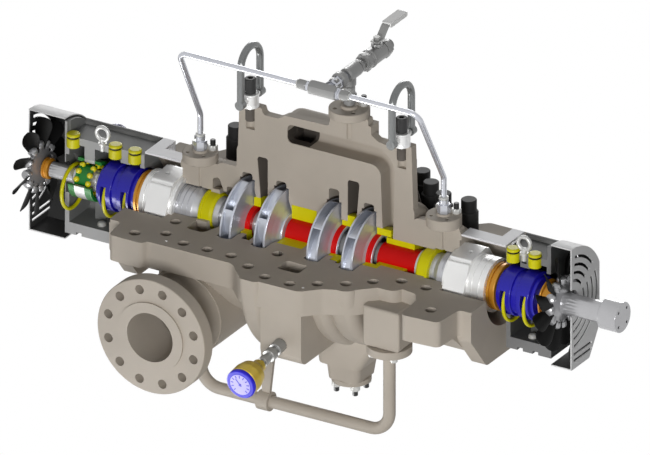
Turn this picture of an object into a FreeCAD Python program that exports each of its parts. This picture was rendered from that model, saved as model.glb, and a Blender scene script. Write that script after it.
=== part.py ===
"""Axially split, between-bearings multistage pump, cut open to show its inside.

Everything is modelled about the shaft: X runs along the shaft towards the drive
end, -Y faces the viewer, Z is up and Z = 0 is the split between the two casing
halves. On saving, every piece is lifted so that Z = 0 becomes the foot plane.
Lengths are millimetres.
"""

import FreeCAD, Part
import math
import os

os.makedirs("parts", exist_ok=True)

V = FreeCAD.Vector

# Driving dimensions of the casing
FLANGE_T = 80.0          # thickness of each split flange
FOOT_PAD = 5.0           # machined pad under the corner lugs
AXIS_HEIGHT = FLANGE_T + FOOT_PAD
CASING_END = 601.0       # end faces that carry the bearing housings
END_HALF_WIDTH = 197.0
SPLIT_BOLT_R = 17.0
FOOT_X = 492.0
FOOT_Y = 237.0
GLAND_PLATE = 70.0       # thickness of the lobed seal gland
LOBE_TURN = 36.0         # direction of its first lobe, in degrees from the back
COLLAR_R = 80.0
TROUGH_R = 112.0         # open trough around each shaft seal
SEAL_BORE_R = 66.0
SEAL_SHAFT_R = 50.0      # seal sleeve where it passes the throat ring
THROAT_R = 60.0
THROAT_BOSS = 72.0       # outside of the boss that holds a throat ring
GLAND_SEAT = (-474.0, 446.0)
SPIGOT_R = 82.0          # register of the gland in the casing
SPIGOT = 12.0
VOLUTE_HALF = 17.0
SPLIT_BOLT_DEPTH = 70.0  # the studs are screwed into blind holes
BODY_R = 250.0           # outside of the ordinary stage bodies
DISC_R = 340.0           # outside of the big double volute
RUN = 0.06               # radial clearance of a running fit
GAP = 0.4                # clearance where a turning piece only passes a fixed one

# Rotor
SHAFT_R = 36.0
SLEEVE_R = 42.0
HUB_RING_R = 51.0        # wear ring on the first impeller's hub
SEAL_SLEEVE_R = 63.0
JOURNAL_R = 34.0
THRUST_R = 24.0
TIP_R = 12.0
IMPELLER_R = 127.0
IMPELLER_HALF = 19.0     # half width over the shrouds at the rim
SLOT_HALF = IMPELLER_HALF + 5.5
SLOT_R = IMPELLER_R + 6.0
VANES = 7
EYE_R = 62.5             # outside of the wear band on an impeller's eye
EYE_BAND = 59.5          # seat of that band on the eye
EYE_REACH = 45.0         # from the impeller centre to the eye face
BAND_NEAR = 25.0         # from the impeller centre to the near side of the band
HUB_REACH = 34.0         # from the impeller centre to the hub face
NDE_TIP = -972.0
DE_TIP = 988.0

# Stage centre, side of the eye (-1 faces the non-drive end), volute radius
STAGES = (
    (-259.0, -1, 150.0),
    (-146.0, -1, 150.0),
    (29.0, 1, 170.0),
    (145.0, 1, 152.0),
)

# Bearings and their housings
BEARING_R = 73.0
NDE_BEARING = (-726.0, -602.0)
DE_BEARING = (602.0, 726.0)
RING_SPACING = 68.0      # between the two oil rings of a journal bearing
OIL_RING_R = 66.0
OIL_WIRE_R = 5.5
HOUSING_TOP = 120.0
HOUSING_FLOOR = -190.0
HOUSING_HALF = 132.0
NDE_HOUSING_END = -865.0
DE_HOUSING_END = 750.0
CAP_X = (-837.0, -697.0, -632.0, 625.0, 697.0)
CAP_R = 20.0
CAP_FOOT = 90.0
CAP_TOP = 133.0
EYE_X = (-740.0, 661.0)
EYE_STEM_R = 8.0
COVER_R = 172.0
COVER_SIDE = 157.0
COVER_BOTTOM = -212.0

# Main nozzles: (flange radius, flange thickness, raised face radius, bore radius,
# bolt circle radius, bolt hole radius, hole count)
SUCTION = (178.0, 48.0, 108.0, 76.0, 146.05, 14.3, 12)
DISCHARGE = (136.5, 42.0, 78.5, 51.0, 107.95, 13.0, 8)
RAISED = 6.0
SUCTION_AT = (-335.0, -418.0, -218.0)
BOX_HALF = 318.0
DISCHARGE_ROOT = BOX_HALF + 27.0    # where the discharge neck meets its boss on the box
DISCHARGE_AT = (41.0, DISCHARGE_ROOT + 135.0, -140.0)
CHAMBER_FACE = -240.0    # where the suction neck meets the casing
BOX_X = (-27.0, 108.0)

# Ports on top of the upper casing
VENT_X = 80.0
VENT_TOP = 444.0
FLUSH_X = (-415.0, 394.0)
FLUSH_TOP = 181.0
HOIST_X = (-249.0, 254.0)
HOIST_SEAT = 366.0
PIN_R = 9.0
PIN_RISE = 23.6          # swivel pin above the turning body's underside
BAIL_LEG = 54.0          # from the bolt to the middle of each leg
BAIL_TOP = 555.0
WEB_HALF = 27.0          # half thickness of the tall web that carries the hoist rings
DUCT_BACK = 62.0         # far wall of the long crossover duct
HUMP_TOP = 360.0
HUMP_BACK = 104.0
INNER_STEP = 3.0         # the casing's passages start this much wider than the nozzles
LINE_Y = -190.0          # the balance pipe's plane
LINE_Z = -450.0
LINE_R = 18.0
DIAL_X = 41.0
DIAL_Z = -187.0
DIAL_TILT = 8.5          # the dial looks a little down

SPLIT_BOLTS = (
    (-413, 195), (-429, 115), (-72, 146), (-338, 224), (-259, 224), (-180, 224), (-103, 259),
    (-27, 293), (57, 296), (126, 256), (196, 214), (255, 163), (323, 118), (406, 120),
)
NO_NUT = ((-429, 115), (-72, 146))  # holes with no tall nut above them


# Small helpers


def cylinder(axis, radius, low, high, centre=(0.0, 0.0)):
    """Cylinder along x, y or z, with its centre given in the other two."""
    a, b = centre
    base = {"x": V(low, a, b), "y": V(a, low, b), "z": V(a, b, low)}[axis]
    way = {"x": V(1, 0, 0), "y": V(0, 1, 0), "z": V(0, 0, 1)}[axis]
    return Part.makeCylinder(radius, high - low, base, way)


def block(x, y, z):
    """Box from three (low, high) pairs."""
    size = (x[1] - x[0], y[1] - y[0], z[1] - z[0])
    return Part.makeBox(size[0], size[1], size[2], V(x[0], y[0], z[0]))


def corner(before, at, after, radius):
    """Where a rounded corner starts, its middle point and where it ends."""
    back = (before - at).normalize()
    ahead = (after - at).normalize()
    half = back.getAngle(ahead) / 2.0
    reach = radius / math.tan(half)
    inward = (back + ahead).normalize()
    middle = at + inward * (radius / math.sin(half) - radius)
    return at + back * reach, middle, at + ahead * reach


def outline(points, plane, level):
    """Closed wire through (a, b) or (a, b, corner radius) points."""
    place = {
        "x": lambda a, b: V(level, a, b),
        "y": lambda a, b: V(a, level, b),
        "z": lambda a, b: V(a, b, level),
    }[plane]
    spots = [place(p[0], p[1]) for p in points]
    radii = [p[2] if len(p) > 2 else 0.0 for p in points]
    count = len(spots)
    ends = []
    for i in range(count):
        if radii[i] > 0:
            ends.append(corner(spots[i - 1], spots[i], spots[(i + 1) % count], radii[i]))
        else:
            ends.append((spots[i], None, spots[i]))
    edges = []
    for i in range(count):
        start, middle, stop = ends[i]
        if middle is not None:
            edges.append(Part.Arc(start, middle, stop).toShape())
        follow = ends[(i + 1) % count][0]
        if stop.distanceToPoint(follow) > 1e-6:
            edges.append(Part.makeLine(stop, follow))
    return Part.Wire(edges)


def prism(points, plane, low, high):
    """Outline pushed along the axis named by its plane."""
    face = Part.Face(outline(points, plane, low))
    way = {"x": V(1, 0, 0), "y": V(0, 1, 0), "z": V(0, 0, 1)}[plane]
    return face.extrude(way * (high - low))


def turned(profile, axis="x", centre=(0.0, 0.0)):
    """Solid of revolution from (station, radius) or (station, radius, corner) points."""
    a, b = centre
    if axis == "x":
        wire = outline(profile, "y", 0.0)
        origin, way = V(0, 0, 0), V(1, 0, 0)
    else:
        flipped = [(p[1], p[0]) + tuple(p[2:]) for p in profile]
        wire = outline(flipped, "y", 0.0)
        origin, way = V(0, 0, 0), V(0, 0, 1)
    solid = Part.Face(wire).revolve(origin, way, 360.0)
    if axis == "x":
        solid.translate(V(0, a, b))
    elif axis == "z":
        solid.translate(V(a, b, 0))
    else:
        solid.rotate(V(0, 0, 0), V(1, 0, 0), -90)
        solid.translate(V(a, 0, b))
    return solid


def ring(low, high, outer, inner):
    """Plain ring around the shaft."""
    return cylinder("x", outer, low, high).cut(cylinder("x", inner, low - 1, high + 1))


def around(centre, radius, count, first=0.0):
    """Points on a circle as (a, b) pairs; first is in degrees."""
    steps = [math.radians(first + 360.0 * i / count) for i in range(count)]
    return [(centre[0] + radius * math.cos(s), centre[1] + radius * math.sin(s)) for s in steps]


def hexagon(axis, across, low, high, centre=(0.0, 0.0)):
    """Hexagonal bar measured across its flats."""
    points = around(centre, across / math.sqrt(3.0), 6, 30.0)
    return prism(points, axis, low, high)


def tube_path(points, bend):
    """Polyline in space with every inner corner rounded to the bend radius."""
    spots = [V(*p) for p in points]
    edges = []
    last = spots[0]
    for i in range(1, len(spots) - 1):
        start, middle, stop = corner(spots[i - 1], spots[i], spots[i + 1], bend)
        edges.append(Part.makeLine(last, start))
        edges.append(Part.Arc(start, middle, stop).toShape())
        last = stop
    edges.append(Part.makeLine(last, spots[-1]))
    return Part.Wire(edges)


def tube(points, radius, bend):
    """Round bar swept along a bent path."""
    path = tube_path(points, bend)
    start = V(*points[0])
    way = V(*points[1]) - start
    circle = Part.Wire([Part.makeCircle(radius, start, way)])
    return path.makePipeShell([circle], True, False)


def fused(shapes):
    """One clean solid from overlapping pieces."""
    return shapes[0].fuse(list(shapes[1:])).removeSplitter()


def without_front_top(shape):
    """Take away the quarter above the split in front of the shaft."""
    return shape.cut(block((-1100, 1100), (-600, 0), (0, 700)))


def save(name, shape):
    """Lift the piece onto the foot plane and write it."""
    lifted = shape.copy()
    lifted.translate(V(0, 0, AXIS_HEIGHT))
    solids = lifted.Solids
    out = solids[0] if len(solids) == 1 else Part.makeCompound(solids)
    out.exportStep(os.path.join("parts", name + ".step"))
    print(name, len(solids), out.isValid(), round(out.Volume / 1e6, 3))


# Inside of the casing


def wet_spaces(upper):
    """Everything hollow in one casing half, turned about the shaft."""
    cuts = []
    for centre, eye, volute in STAGES:
        room = volute if upper else SLOT_R + 5
        cuts.append(cylinder("x", SLOT_R, centre - SLOT_HALF, centre + SLOT_HALF))
        cuts.append(rounded_body(centre - VOLUTE_HALF, centre + VOLUTE_HALF, room, 8))
        cuts.append(stage_cone(centre, eye))
    low, high = GLAND_SEAT
    cuts.append(cylinder("x", TROUGH_R, -700, low))
    cuts.append(cylinder("x", TROUGH_R, high, 700))
    cuts.append(cylinder("x", SPIGOT_R, low - 1, low + SPIGOT))
    cuts.append(cylinder("x", SPIGOT_R, high - SPIGOT, high + 1))
    cuts.append(cylinder("x", SEAL_BORE_R, low, -379))
    cuts.append(cylinder("x", SEAL_BORE_R, 365, high))
    cuts.append(cylinder("x", THROAT_R + GAP, -390, 377))
    cuts.append(cylinder("x", 74.0, -306, -280))
    cuts.append(cylinder("x", 74.0, -193, -168))
    cuts.append(suction_ring(upper))
    cuts += stage_crossings(upper)
    cuts.append(cylinder("x", 85.0 + GAP, -112, -28))
    cuts.append(cylinder("x", 80.0 + GAP, -240, -213))
    cuts.append(cylinder("x", 79.0 + GAP, 50, 76))
    cuts.append(cylinder("x", 84.0 + GAP, 169, 220))
    return cuts


def stage_cone(centre, eye):
    """Conical room for an impeller's hub, widest at the impeller."""
    near = centre - eye * (SLOT_HALF - 1)
    far = centre - eye * (HUB_REACH + 1)
    return turned([(near, 0), (near, 101), (far, 64), (far, 0)])


def suction_ring(upper):
    """Annular passage to the first eye: slim above the shaft, wide below it."""
    if upper:
        return turned([
            (-374, THROAT_BOSS), (-374, 104, 9), (-353, 112, 9), (-337, 72), (-328, 72), (-326, 90, 4),
            (-310, 90, 4), (-301, 50), (-346, 50),
            (-352, THROAT_BOSS),
        ])
    return turned([
        (-385, THROAT_BOSS), (-385, 130, 12), (-370, 136, 10), (-326, 136, 20),
        (-306, 78, 10), (-301, 50), (-346, 50), (-352, THROAT_BOSS),
    ])


def stage_crossings(upper):
    """Passages from one volute back in to the next eye."""
    if not upper:
        return [cylinder("x", 112.0, -214, -187), cylinder("x", 112.0, 98, 110),
                cylinder("x", 102.0, 73.6, 99)]
    return [stage_crossing(-227.0, -191.0, -216.0, -184.0),
            stage_crossing(74.0, 114.0, 74.0, 104.0)]


def stage_crossing(top_low, top_high, low_low, low_high):
    """Flat passage over the shaft, taller than it is wide."""
    tall = arch(top_low, top_high, 165.0, 211.0)
    taper = prism([
        (low_low, -10), (low_low, 90), (top_low, 212, 12), (top_high, 213, 12), (low_high, 90),
        (low_high, -10),
    ], "y", -200, 200)
    return tall.common(taper)


def arch(low, high, half_width, top):
    """Round-topped block over the shaft, standing on the split plane."""
    level = top - half_width
    dome = cylinder("x", half_width, low, high, (0, level))
    return dome.fuse(block((low, high), (-half_width, half_width), (-1, level)))


def bored(casing, upper):
    """Casing half with its wet spaces and split flange holes cut out."""
    depth = SPLIT_BOLT_DEPTH
    high = FLANGE_T + 1 if upper else depth
    holes = [cylinder("z", SPLIT_BOLT_R, -depth, high, (x, y * side))
             for x, y in SPLIT_BOLTS for side in (-1, 1)]
    holes += [cylinder("z", SPLIT_BOLT_R, -120, 120, (x * FOOT_X, y * FOOT_Y))
              for x in (-1, 1) for y in (-1, 1)]
    return casing.cut(wet_spaces(upper) + holes)


# Casing halves


def flange_edge(side, lugs):
    """Edge of the split flange on one side, from the non-drive to the drive end."""
    wide = -END_HALF_WIDTH
    if lugs:
        first = ((-561, wide, 14), (-552, -284, 18), (-443, -287, 18), (-430, -267, 14))
        last = ((424, -206, 20), (431, -308, 18), (553, -300, 18), (561, wide, 14))
    else:
        first = ((-478, wide, 25), (-440, -265, 25))
        last = ((432, wide, 20),)
    front = ((-CASING_END, wide, 6),) + first + (
        (-149, -267, 40), (-92, -330, 40), (105, -330, 40), (156, -279, 28), (228, -247, 40),
        (300, -178, 40), (350, -162, 30), (402, -170, 22),
    ) + last + ((CASING_END, wide, 6),)
    return [(x, y * -side, r) for x, y, r in front]


def split_flange(low, high, lugs):
    """Whole split flange between two heights; only the lower half has the foot lugs."""
    points = flange_edge(-1, lugs) + list(reversed(flange_edge(1, lugs)))
    return prism(points, "z", low, high)


def rounded_body(low, high, radius, soft):
    """Stage body: a thick disc about the shaft with soft edges."""
    return turned([
        (low, 0), (low, radius, soft), (high, radius, soft), (high, 0),
    ])


def lower_outside():
    """Outside of the lower casing half, below the split."""
    below = block((-700, 700), (-400, 400), (-500, 0))
    drums = [
        rounded_body(-561, -470, 150, 25),
        rounded_body(-480, -260, 178, 40),
        rounded_body(-300, -90, BODY_R, 45),
        rounded_body(-95, -22, DISC_R, 22),
        rounded_body(90, 158, 276, 28),
        rounded_body(146, 240, 262, 34),
        rounded_body(200, 352, 190, 35),
        rounded_body(340, 470, 150, 30),
        rounded_body(460, 561, 150, 25),
    ]
    barrel = drums[0].fuse(drums[1:]).common(below)
    pieces = [barrel, split_flange(-FLANGE_T, 0, True)]
    pieces.append(prism([
        (-BOX_HALF, 0), (-BOX_HALF, -245, 30), (BOX_HALF, -245, 30), (BOX_HALF, 0),
    ], "x", BOX_X[0], BOX_X[1]))
    pieces.append(suction_chamber())
    pieces.append(cylinder("y", 66.0, 300, DISCHARGE_ROOT, (DISCHARGE_AT[0], DISCHARGE_AT[2])))
    pieces.append(cylinder("z", 31.0, -358, -300, (-300, LINE_Y)))
    pieces.append(balance_block())
    for side in (-1, 1):
        pieces += end_blocks(side)
    pieces += drain_boss()
    return fused(pieces)


def balance_block():
    """Square boss in front of the last stage that carries the balance pipe's flange."""
    boss = prism([
        (266, -40), (386, -40, 10), (386, -166, 12), (266, -166, 12),
    ], "y", -240, -60)
    front = [e for e in boss.Edges if e.BoundBox.YMax < -239.9 and e.BoundBox.ZLength > 60]
    return boss.makeFillet(7, front)


def end_blocks(side):
    """End of the lower half: deep end plate, gussets to the lugs, ribs and foot pads."""
    end = side * CASING_END
    inner = side * 554.0
    pieces = [prism([
        (-END_HALF_WIDTH, -10), (-END_HALF_WIDTH, -95, 20), (-110, -204, 25),
        (110, -204, 25), (END_HALF_WIDTH, -95, 20), (END_HALF_WIDTH, -10),
    ], "x", min(end, inner), max(end, inner))]
    for across in (-1, 1):
        pieces.append(cylinder("z", 44.0, -AXIS_HEIGHT, -FLANGE_T + 2,
                               (side * FOOT_X, across * FOOT_Y)))
        pieces.append(gusset(side, across))
    return pieces


def gusset(side, across):
    """Sloping web that ties a corner lug down to the end plate."""
    low, high = sorted((side * 470.0, side * 556.0))
    return prism([
        (across * 110, -60), (across * 236, -70), (across * 150, -150, 20), (across * 110, -170, 20),
    ], "x", low, high)


def suction_chamber():
    """Bulge that carries the suction neck and leads up to the first eye."""
    drum = cylinder("y", 132.0, CHAMBER_FACE, 90, (SUCTION_AT[0], SUCTION_AT[2]))
    neck = block((-440, -232), (-190, 80), (-220, -30))
    return drum.fuse(neck)


def drain_boss():
    """Flared root and the tapered square boss for the drain connection."""
    flare_top = outline([(10, -96, 20), (240, -96, 20), (240, 96, 20), (10, 96, 20)], "z", -225)
    flare_low = outline([(20, -84, 24), (160, -84, 24), (160, 84, 24), (20, 84, 24)], "z", -345)
    top = outline([(32, -66, 22), (146, -66, 22), (146, 66, 22), (32, 66, 22)], "z", -335)
    low = outline([(36, -56, 22), (138, -56, 22), (138, 56, 22), (36, 56, 22)], "z", -404)
    return [Part.makeLoft([flare_top, flare_low], True, True),
            Part.makeLoft([top, low], True, True)]


def lower_casing():
    """Lower half with suction bore, drain and the crossover mouth in its split face."""
    body = bored(lower_outside(), False)
    sx, _, sz = SUCTION_AT
    cuts = [
        cylinder("y", SUCTION[3] + INNER_STEP, CHAMBER_FACE - 5, 40, (sx, sz)),
        block((-385, -305), (-70, 20), (-230, -90)),
        cylinder("y", DISCHARGE[3] + INNER_STEP, 120, DISCHARGE_ROOT + 5,
                 (DISCHARGE_AT[0], DISCHARGE_AT[2])),
        block((-8, 66), (110, 200), (-180, 20)),
        crossover_mouth(),
        cylinder("z", 20.0, -410, -150, (87, 0)),
        cylinder("z", 14.0, -170, -60, (326, LINE_Y)),
    ]
    return body.cut(cuts)


def crossover_mouth():
    """Rectangular opening in the split face with rounded corners."""
    return prism([
        (-26, -228, 10), (45, -228, 10), (45, -170, 10), (-26, -170, 10),
    ], "z", -110, 5)


def upper_profile():
    """Section outline of the upper half, from the non-drive end round to the drive end."""
    return [
        (-470, 60), (-470, 151, 6), (-356, 152, 6), (-346, 160, 4), (-292, 161, 8),
        (-286, 350, 3), (-282, HOIST_SEAT, 3), (-212, HOIST_SEAT, 4), (-206, 347, 12),
        (-156, 347, 20), (-133, 362, 20), (12, 366, 10), (20, 418, 4), (142, 418, 6),
        (144, 378, 14), (176, 356, 20), (212, 351, 4), (216, HOIST_SEAT, 4),
        (286, HOIST_SEAT, 3), (293, 150, 4), (296, 111, 14), (334, 111, 14),
        (341, 148, 8), (446, 146, 6), (446, 60),
    ]


def upper_outside():
    """Outside of the upper half behind the cut plane."""
    web = prism(upper_profile(), "y", 0, WEB_HALF)
    back = block((-700, 700), (0, 400), (0, 500))
    shells = [
        soft_arch(-294, -92, 196, 246, 34),
        soft_arch(-98, -20, 232, 268, 20),
        soft_arch(-24, 112, 248, 262, 36),
        soft_arch(104, 226, 186, 250, 34),
        soft_arch(222, 296, 128, 180, 26),
        soft_arch(-480, -284, 150, 152, 26),
        soft_arch(290, 452, 86, 146, 22),
    ]
    shell = shells[0].fuse(shells[1:]).common(back)
    plate = split_flange(0, FLANGE_T, False).common(back)
    return fused([plate, web, shell, duct_ridge(), duct_hump(), vent_boss()] + flush_bosses())


def soft_arch(low, high, half_width, top, soft):
    """Arch whose long edges are rounded, as a casting's are."""
    body = arch(low, high, half_width, top).removeSplitter()
    rims = [e for e in body.Edges if abs(e.BoundBox.XLength) < 1e-6 and e.BoundBox.ZMax > 5]
    return body.makeFillet(soft, rims)


def flush_bosses():
    """Round bosses that carry the flush flanges."""
    back = block((-700, 700), (0, 400), (0, 500))
    return [cylinder("z", 50.0, 60, top, (x, 0)).common(back)
            for x, top in zip(FLUSH_X, (152.0, 148.0))]


def duct_ridge():
    """Thick rounded pipe of metal around the long crossover duct."""
    ridge = prism([
        (-150, 200), (-150, 340, 30), (252, 340, 90), (244, 60), (164, 60),
        (150, 200, 30),
    ], "y", 0, DUCT_BACK + 24)
    rims = [e for e in ridge.Edges if e.BoundBox.YLength < 1e-6
            and e.BoundBox.YMax > 80 and e.BoundBox.ZMax > 210]
    return ridge.makeFillet(34, rims)


def vent_boss():
    """Boss behind the vent flange, with its square shoulder."""
    back = block((-700, 700), (0, 400), (0, 500))
    post = cylinder("z", 60.0, 330, 418, (VENT_X, 0)).common(back)
    shoulder = block((VENT_X, VENT_X + 72), (0, 44), (330, 398))
    return post.fuse(shoulder)


def duct_hump():
    """Raised back of the long crossover duct, rounded like the casting."""
    hump = prism([
        (-152, 200), (-152, HUMP_TOP, 34), (18, HUMP_TOP, 20), (60, 330), (60, 200),
    ], "y", 0, HUMP_BACK)
    rims = [e for e in hump.Edges if e.BoundBox.YMin > HUMP_BACK - 1e-3
            and e.BoundBox.ZMax > 210]
    return hump.makeFillet(40, rims)


def long_crossover():
    """Duct from the second volute over the top and down to the fourth eye."""
    outer = prism([
        (-126, 280, 16), (-126, 338, 16), (233, 338, 72), (225, 60), (191, 60),
        (183, 280, 34),
    ], "y", -40, DUCT_BACK)
    rims = [e for e in outer.Edges if e.BoundBox.YMin > DUCT_BACK - 1e-3]
    drop = prism([
        (-124, 180, 14), (-124, 336, 14), (-66, 336, 14), (-66, 180, 14),
    ], "y", 30, HUMP_BACK - 16)
    return outer.makeFillet(14, rims), drop


def upper_casing():
    """Upper half: only its back half is kept, so the cut face shows every passage."""
    body = bored(upper_outside(), True)
    duct, drop = long_crossover()
    cuts = [duct, drop, block((-700, 700), (-400, 0), (-10, 600))]
    cuts.append(cylinder("z", 9.0, 338, 430, (VENT_X, 0)))
    for x in FLUSH_X:
        cuts.append(cylinder("z", 5.0, 60, 190, (x, 0)))
    for x in HOIST_X:
        cuts.append(cylinder("z", 14.0, HOIST_SEAT - 75, HOIST_SEAT + 5, (x, 0)))
    return body.cut(cuts)


# Nozzles


def weld_neck(kind, length, root_r, boss):
    """Flanged nozzle about its own Z axis: face at 0, body going down."""
    radius, thick, face_r, bore, circle, hole, count = kind
    body = turned([
        (0, 0), (0, face_r), (-RAISED, face_r), (-RAISED, radius, 3), (-RAISED - thick, radius, 3),
        (-RAISED - thick, root_r + 14, 12), (-RAISED - thick - 55, root_r, 30),
        (-length, boss), (-length, 0),
    ], "z")
    body = body.cut(cylinder("z", bore, -length - 1, 1))
    holes = [cylinder("z", hole, -thick - 20, 2, p)
             for p in around((0, 0), circle, count, 180.0 / count)]
    return body.cut(holes)


def suction_nozzle():
    """Front nozzle, facing the viewer."""
    length = CHAMBER_FACE - SUCTION_AT[1]
    nozzle = weld_neck(SUCTION, length, 104.0, 128.0)
    nozzle.rotate(V(0, 0, 0), V(1, 0, 0), 90)
    nozzle.translate(V(*SUCTION_AT))
    return nozzle


def discharge_nozzle():
    """Back nozzle on the far face of the discharge box."""
    length = DISCHARGE_AT[1] - DISCHARGE_ROOT
    nozzle = weld_neck(DISCHARGE, length, 64.0, 66.0)
    nozzle.rotate(V(0, 0, 0), V(1, 0, 0), -90)
    nozzle.translate(V(*DISCHARGE_AT))
    return nozzle


# Inner bushes


def three_quarter(profile):
    """Stationary bush with the front upper quarter removed."""
    return without_front_top(turned(profile))


def bushes():
    """Bushes between the stages, written under their own names."""
    run = SLEEVE_R + GAP
    save("centre_bush", three_quarter([
        (-111, run), (-111, 85, 2), (-29, 85, 2), (-29, run),
    ]))
    wear = EYE_R + GAP
    hub = HUB_RING_R + GAP
    first = three_quarter([(-237, hub), (-237, 76), (-231, 80), (-214, 80), (-214, hub)])
    second = three_quarter([
        (56, wear), (56, 79), (74, 79), (74, 98, 2), (98, 98, 2), (98, wear),
    ])
    third = three_quarter([
        (172, wear), (172, 84), (219, 84), (219, wear),
    ])
    fourth = three_quarter([(-296, wear), (-296, 73), (-286, 73), (-286, wear)])
    fifth = three_quarter([(-184, wear), (-184, 73), (-173, 73), (-173, wear)])
    save("stage_bushes", Part.makeCompound([first, second, third, fourth, fifth]))
    save("balance_bush", three_quarter([
        (204, run), (204, 60), (297, 60), (297, run),
    ]))
    save("throat_rings", Part.makeCompound([throat_ring(-1, -388.0), throat_ring(1, 374.0)]))


def throat_ring(side, flanged):
    """Whole ring at the inner end of a seal chamber, with a thin flange."""
    bore = SEAL_SHAFT_R + GAP
    profile = [
        (0, bore), (0, THROAT_R + 4, 1), (9, THROAT_R + 4, 1), (9, THROAT_R), (34, THROAT_R),
        (42, THROAT_R - 5, 2), (42, bore),
    ]
    return turned([(flanged - side * p[0],) + tuple(p[1:]) for p in profile])


# Seals


def gland(low, collar):
    """Seal gland: six flat lobes, spigot, and a long collar with grooves and small holes."""
    side = 1 if collar > low else -1
    points = []
    for i in range(6):
        for turn, radius, soft in ((-26, 99, 5), (26, 99, 5), (30, 90, 0)):
            a = math.radians(LOBE_TURN + 60 * i + turn)
            points.append((radius * math.cos(a), radius * math.sin(a), soft))
    high = low + side * GLAND_PLATE
    plate = prism(points, "x", min(low, high), max(low, high))
    root = low - side * (SPIGOT - 1)
    body = plate.fuse([
        cylinder("x", SPIGOT_R - GAP, min(root, high), max(root, high)),
        cylinder("x", COLLAR_R, min(high, collar), max(high, collar)),
    ])
    body = body.cut(cylinder("x", SEAL_SLEEVE_R + 2, min(root, collar) - 1, max(root, collar) + 1))
    cuts = []
    for step in (16, 38):
        x = high + side * step
        cuts.append(ring(x - 2, x + 2, COLLAR_R + 5, COLLAR_R - 3))
    cuts += [cylinder("x", 3.5, min(collar - 12, collar + 12), max(collar - 12, collar + 12), p)
             for p in around((0, 0), 73, 16)]
    middle = (low + high) / 2.0
    for i in (0, 1):
        port = cylinder("z", 7.0, 78, 110, (middle + side * 8, 0))
        port.rotate(V(0, 0, 0), V(1, 0, 0), LOBE_TURN + 60 * i - 90)
        cuts.append(port)
    return body.cut(cuts)


def seal_parts():
    """Glands and the bronze isolators outboard of them."""
    save("gland_nde", gland(GLAND_SEAT[0], -574.0))
    save("gland_de", gland(GLAND_SEAT[1], 572.0))


# Bearing housings


def journal_bearing(low, high):
    """Plain bearing shell with a centre groove and a slot for each oil ring."""
    middle = (low + high) / 2.0
    body = turned([
        (low, JOURNAL_R + RUN), (low, 62, 2), (low + 9, 62), (low + 12, BEARING_R, 2),
        (middle - 9, BEARING_R, 3), (middle - 9, 66), (middle + 9, 66),
        (middle + 9, BEARING_R, 3), (high - 12, BEARING_R, 2), (high - 9, 62), (high, 62, 2),
        (high, JOURNAL_R + RUN),
    ])
    slots = []
    for x in (middle - RING_SPACING / 2, middle + RING_SPACING / 2):
        hoop = ring(x - 9, x + 9, OIL_RING_R + 9.0, OIL_RING_R - 9.0)
        hoop.translate(V(0, 0, ring_height(JOURNAL_R)))
        slots.append(hoop)
        window = block((x - 9, x + 9), (-BEARING_R - 5, -30), (-BEARING_R - 5, 24))
        slots.append(window.cut(cylinder("x", 48.0, x - 10, x + 10)))
    return body.cut(slots)


def ring_height(seat):
    """Height of an oil ring's centre when it hangs on a shaft of this radius."""
    return seat + GAP - (OIL_RING_R - OIL_WIRE_R)


def oil_ring(x, seat):
    """Loose ring that hangs on the shaft and lifts oil."""
    return Part.makeTorus(OIL_RING_R, OIL_WIRE_R, V(x, 0, ring_height(seat)), V(1, 0, 0))


def housing(side, inner, outer):
    """Back half of a bearing housing with its floor, end walls and bearing saddle."""
    low, high = min(inner, outer), max(inner, outer)
    wall = 14.0
    shell = prism([
        (0, HOUSING_FLOOR), (0, HOUSING_TOP), (HOUSING_HALF, HOUSING_TOP, 34),
        (HOUSING_HALF, HOUSING_FLOOR, 20),
    ], "x", low, high)
    room = prism([
        (-5, HOUSING_FLOOR + 36), (-5, HOUSING_TOP - 22),
        (HOUSING_HALF - wall, HOUSING_TOP - 22, 22),
        (HOUSING_HALF - wall, HOUSING_FLOOR + 36, 14),
    ], "x", low + wall, high - wall)
    body = shell.cut(room)
    bearing = DE_BEARING if side > 0 else NDE_BEARING
    middle = (bearing[0] + bearing[1]) / 2.0
    body = body.fuse([saddle(middle - 16, middle + 16), end_disc(side, outer)])
    holes = [cylinder("x", BEARING_R + GAP, bearing[0] - 2, bearing[1] + 2)]
    holes.append(cylinder("x", 77.0, low - 1, high + 1) if side > 0
                 else cylinder("x", 77.0, -760, high + 1))
    if side < 0:
        body = body.fuse(saddle(-800, -766))
        holes.append(cylinder("x", 60.0 + GAP, -862, -755))
        holes.append(cylinder("x", 34.0, low - 1, -800))
    holes += [cylinder("z", CAP_R + GAP, CAP_FOOT - 2, 200, (x, 0)) for x in CAP_X]
    holes += [cylinder("z", EYE_STEM_R + GAP, 90, 200, (x, 0)) for x in EYE_X]
    for x in (low + 46.0, high - 52.0):
        holes.append(block((x - 9, x + 9), (-1, 20), (HOUSING_FLOOR - 1, HOUSING_FLOOR + 9)))
    body = body.cut(holes)
    ridge = cylinder("x", 13.0, low + 6, high - 6, (HOUSING_HALF - 26, HOUSING_TOP - 3))
    return body.fuse(ridge).removeSplitter()


def saddle(low, high):
    """Bearing support: full above the split, set back below it so the sump stays open."""
    return prism([
        (60, HOUSING_FLOOR + 10), (60, -45, 15), (0, -45), (0, HOUSING_TOP - 5),
        (HOUSING_HALF - 5, HOUSING_TOP - 5), (HOUSING_HALF - 5, HOUSING_FLOOR + 10),
    ], "x", low, high)


def end_disc(side, outer):
    """Back half of the round plate that the fan cover is fixed to."""
    inner = outer - side * 12.0
    low, high = min(inner, outer), max(inner, outer)
    disc = cylinder("x", COVER_R - 8, low, high)
    return disc.common(block((low, high), (0, 200), (-120, 200)))


def housings():
    """Both bearing housings."""
    save("housing_nde", housing(-1, -CASING_END, NDE_HOUSING_END))
    save("housing_de", housing(1, CASING_END, DE_HOUSING_END))


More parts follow.
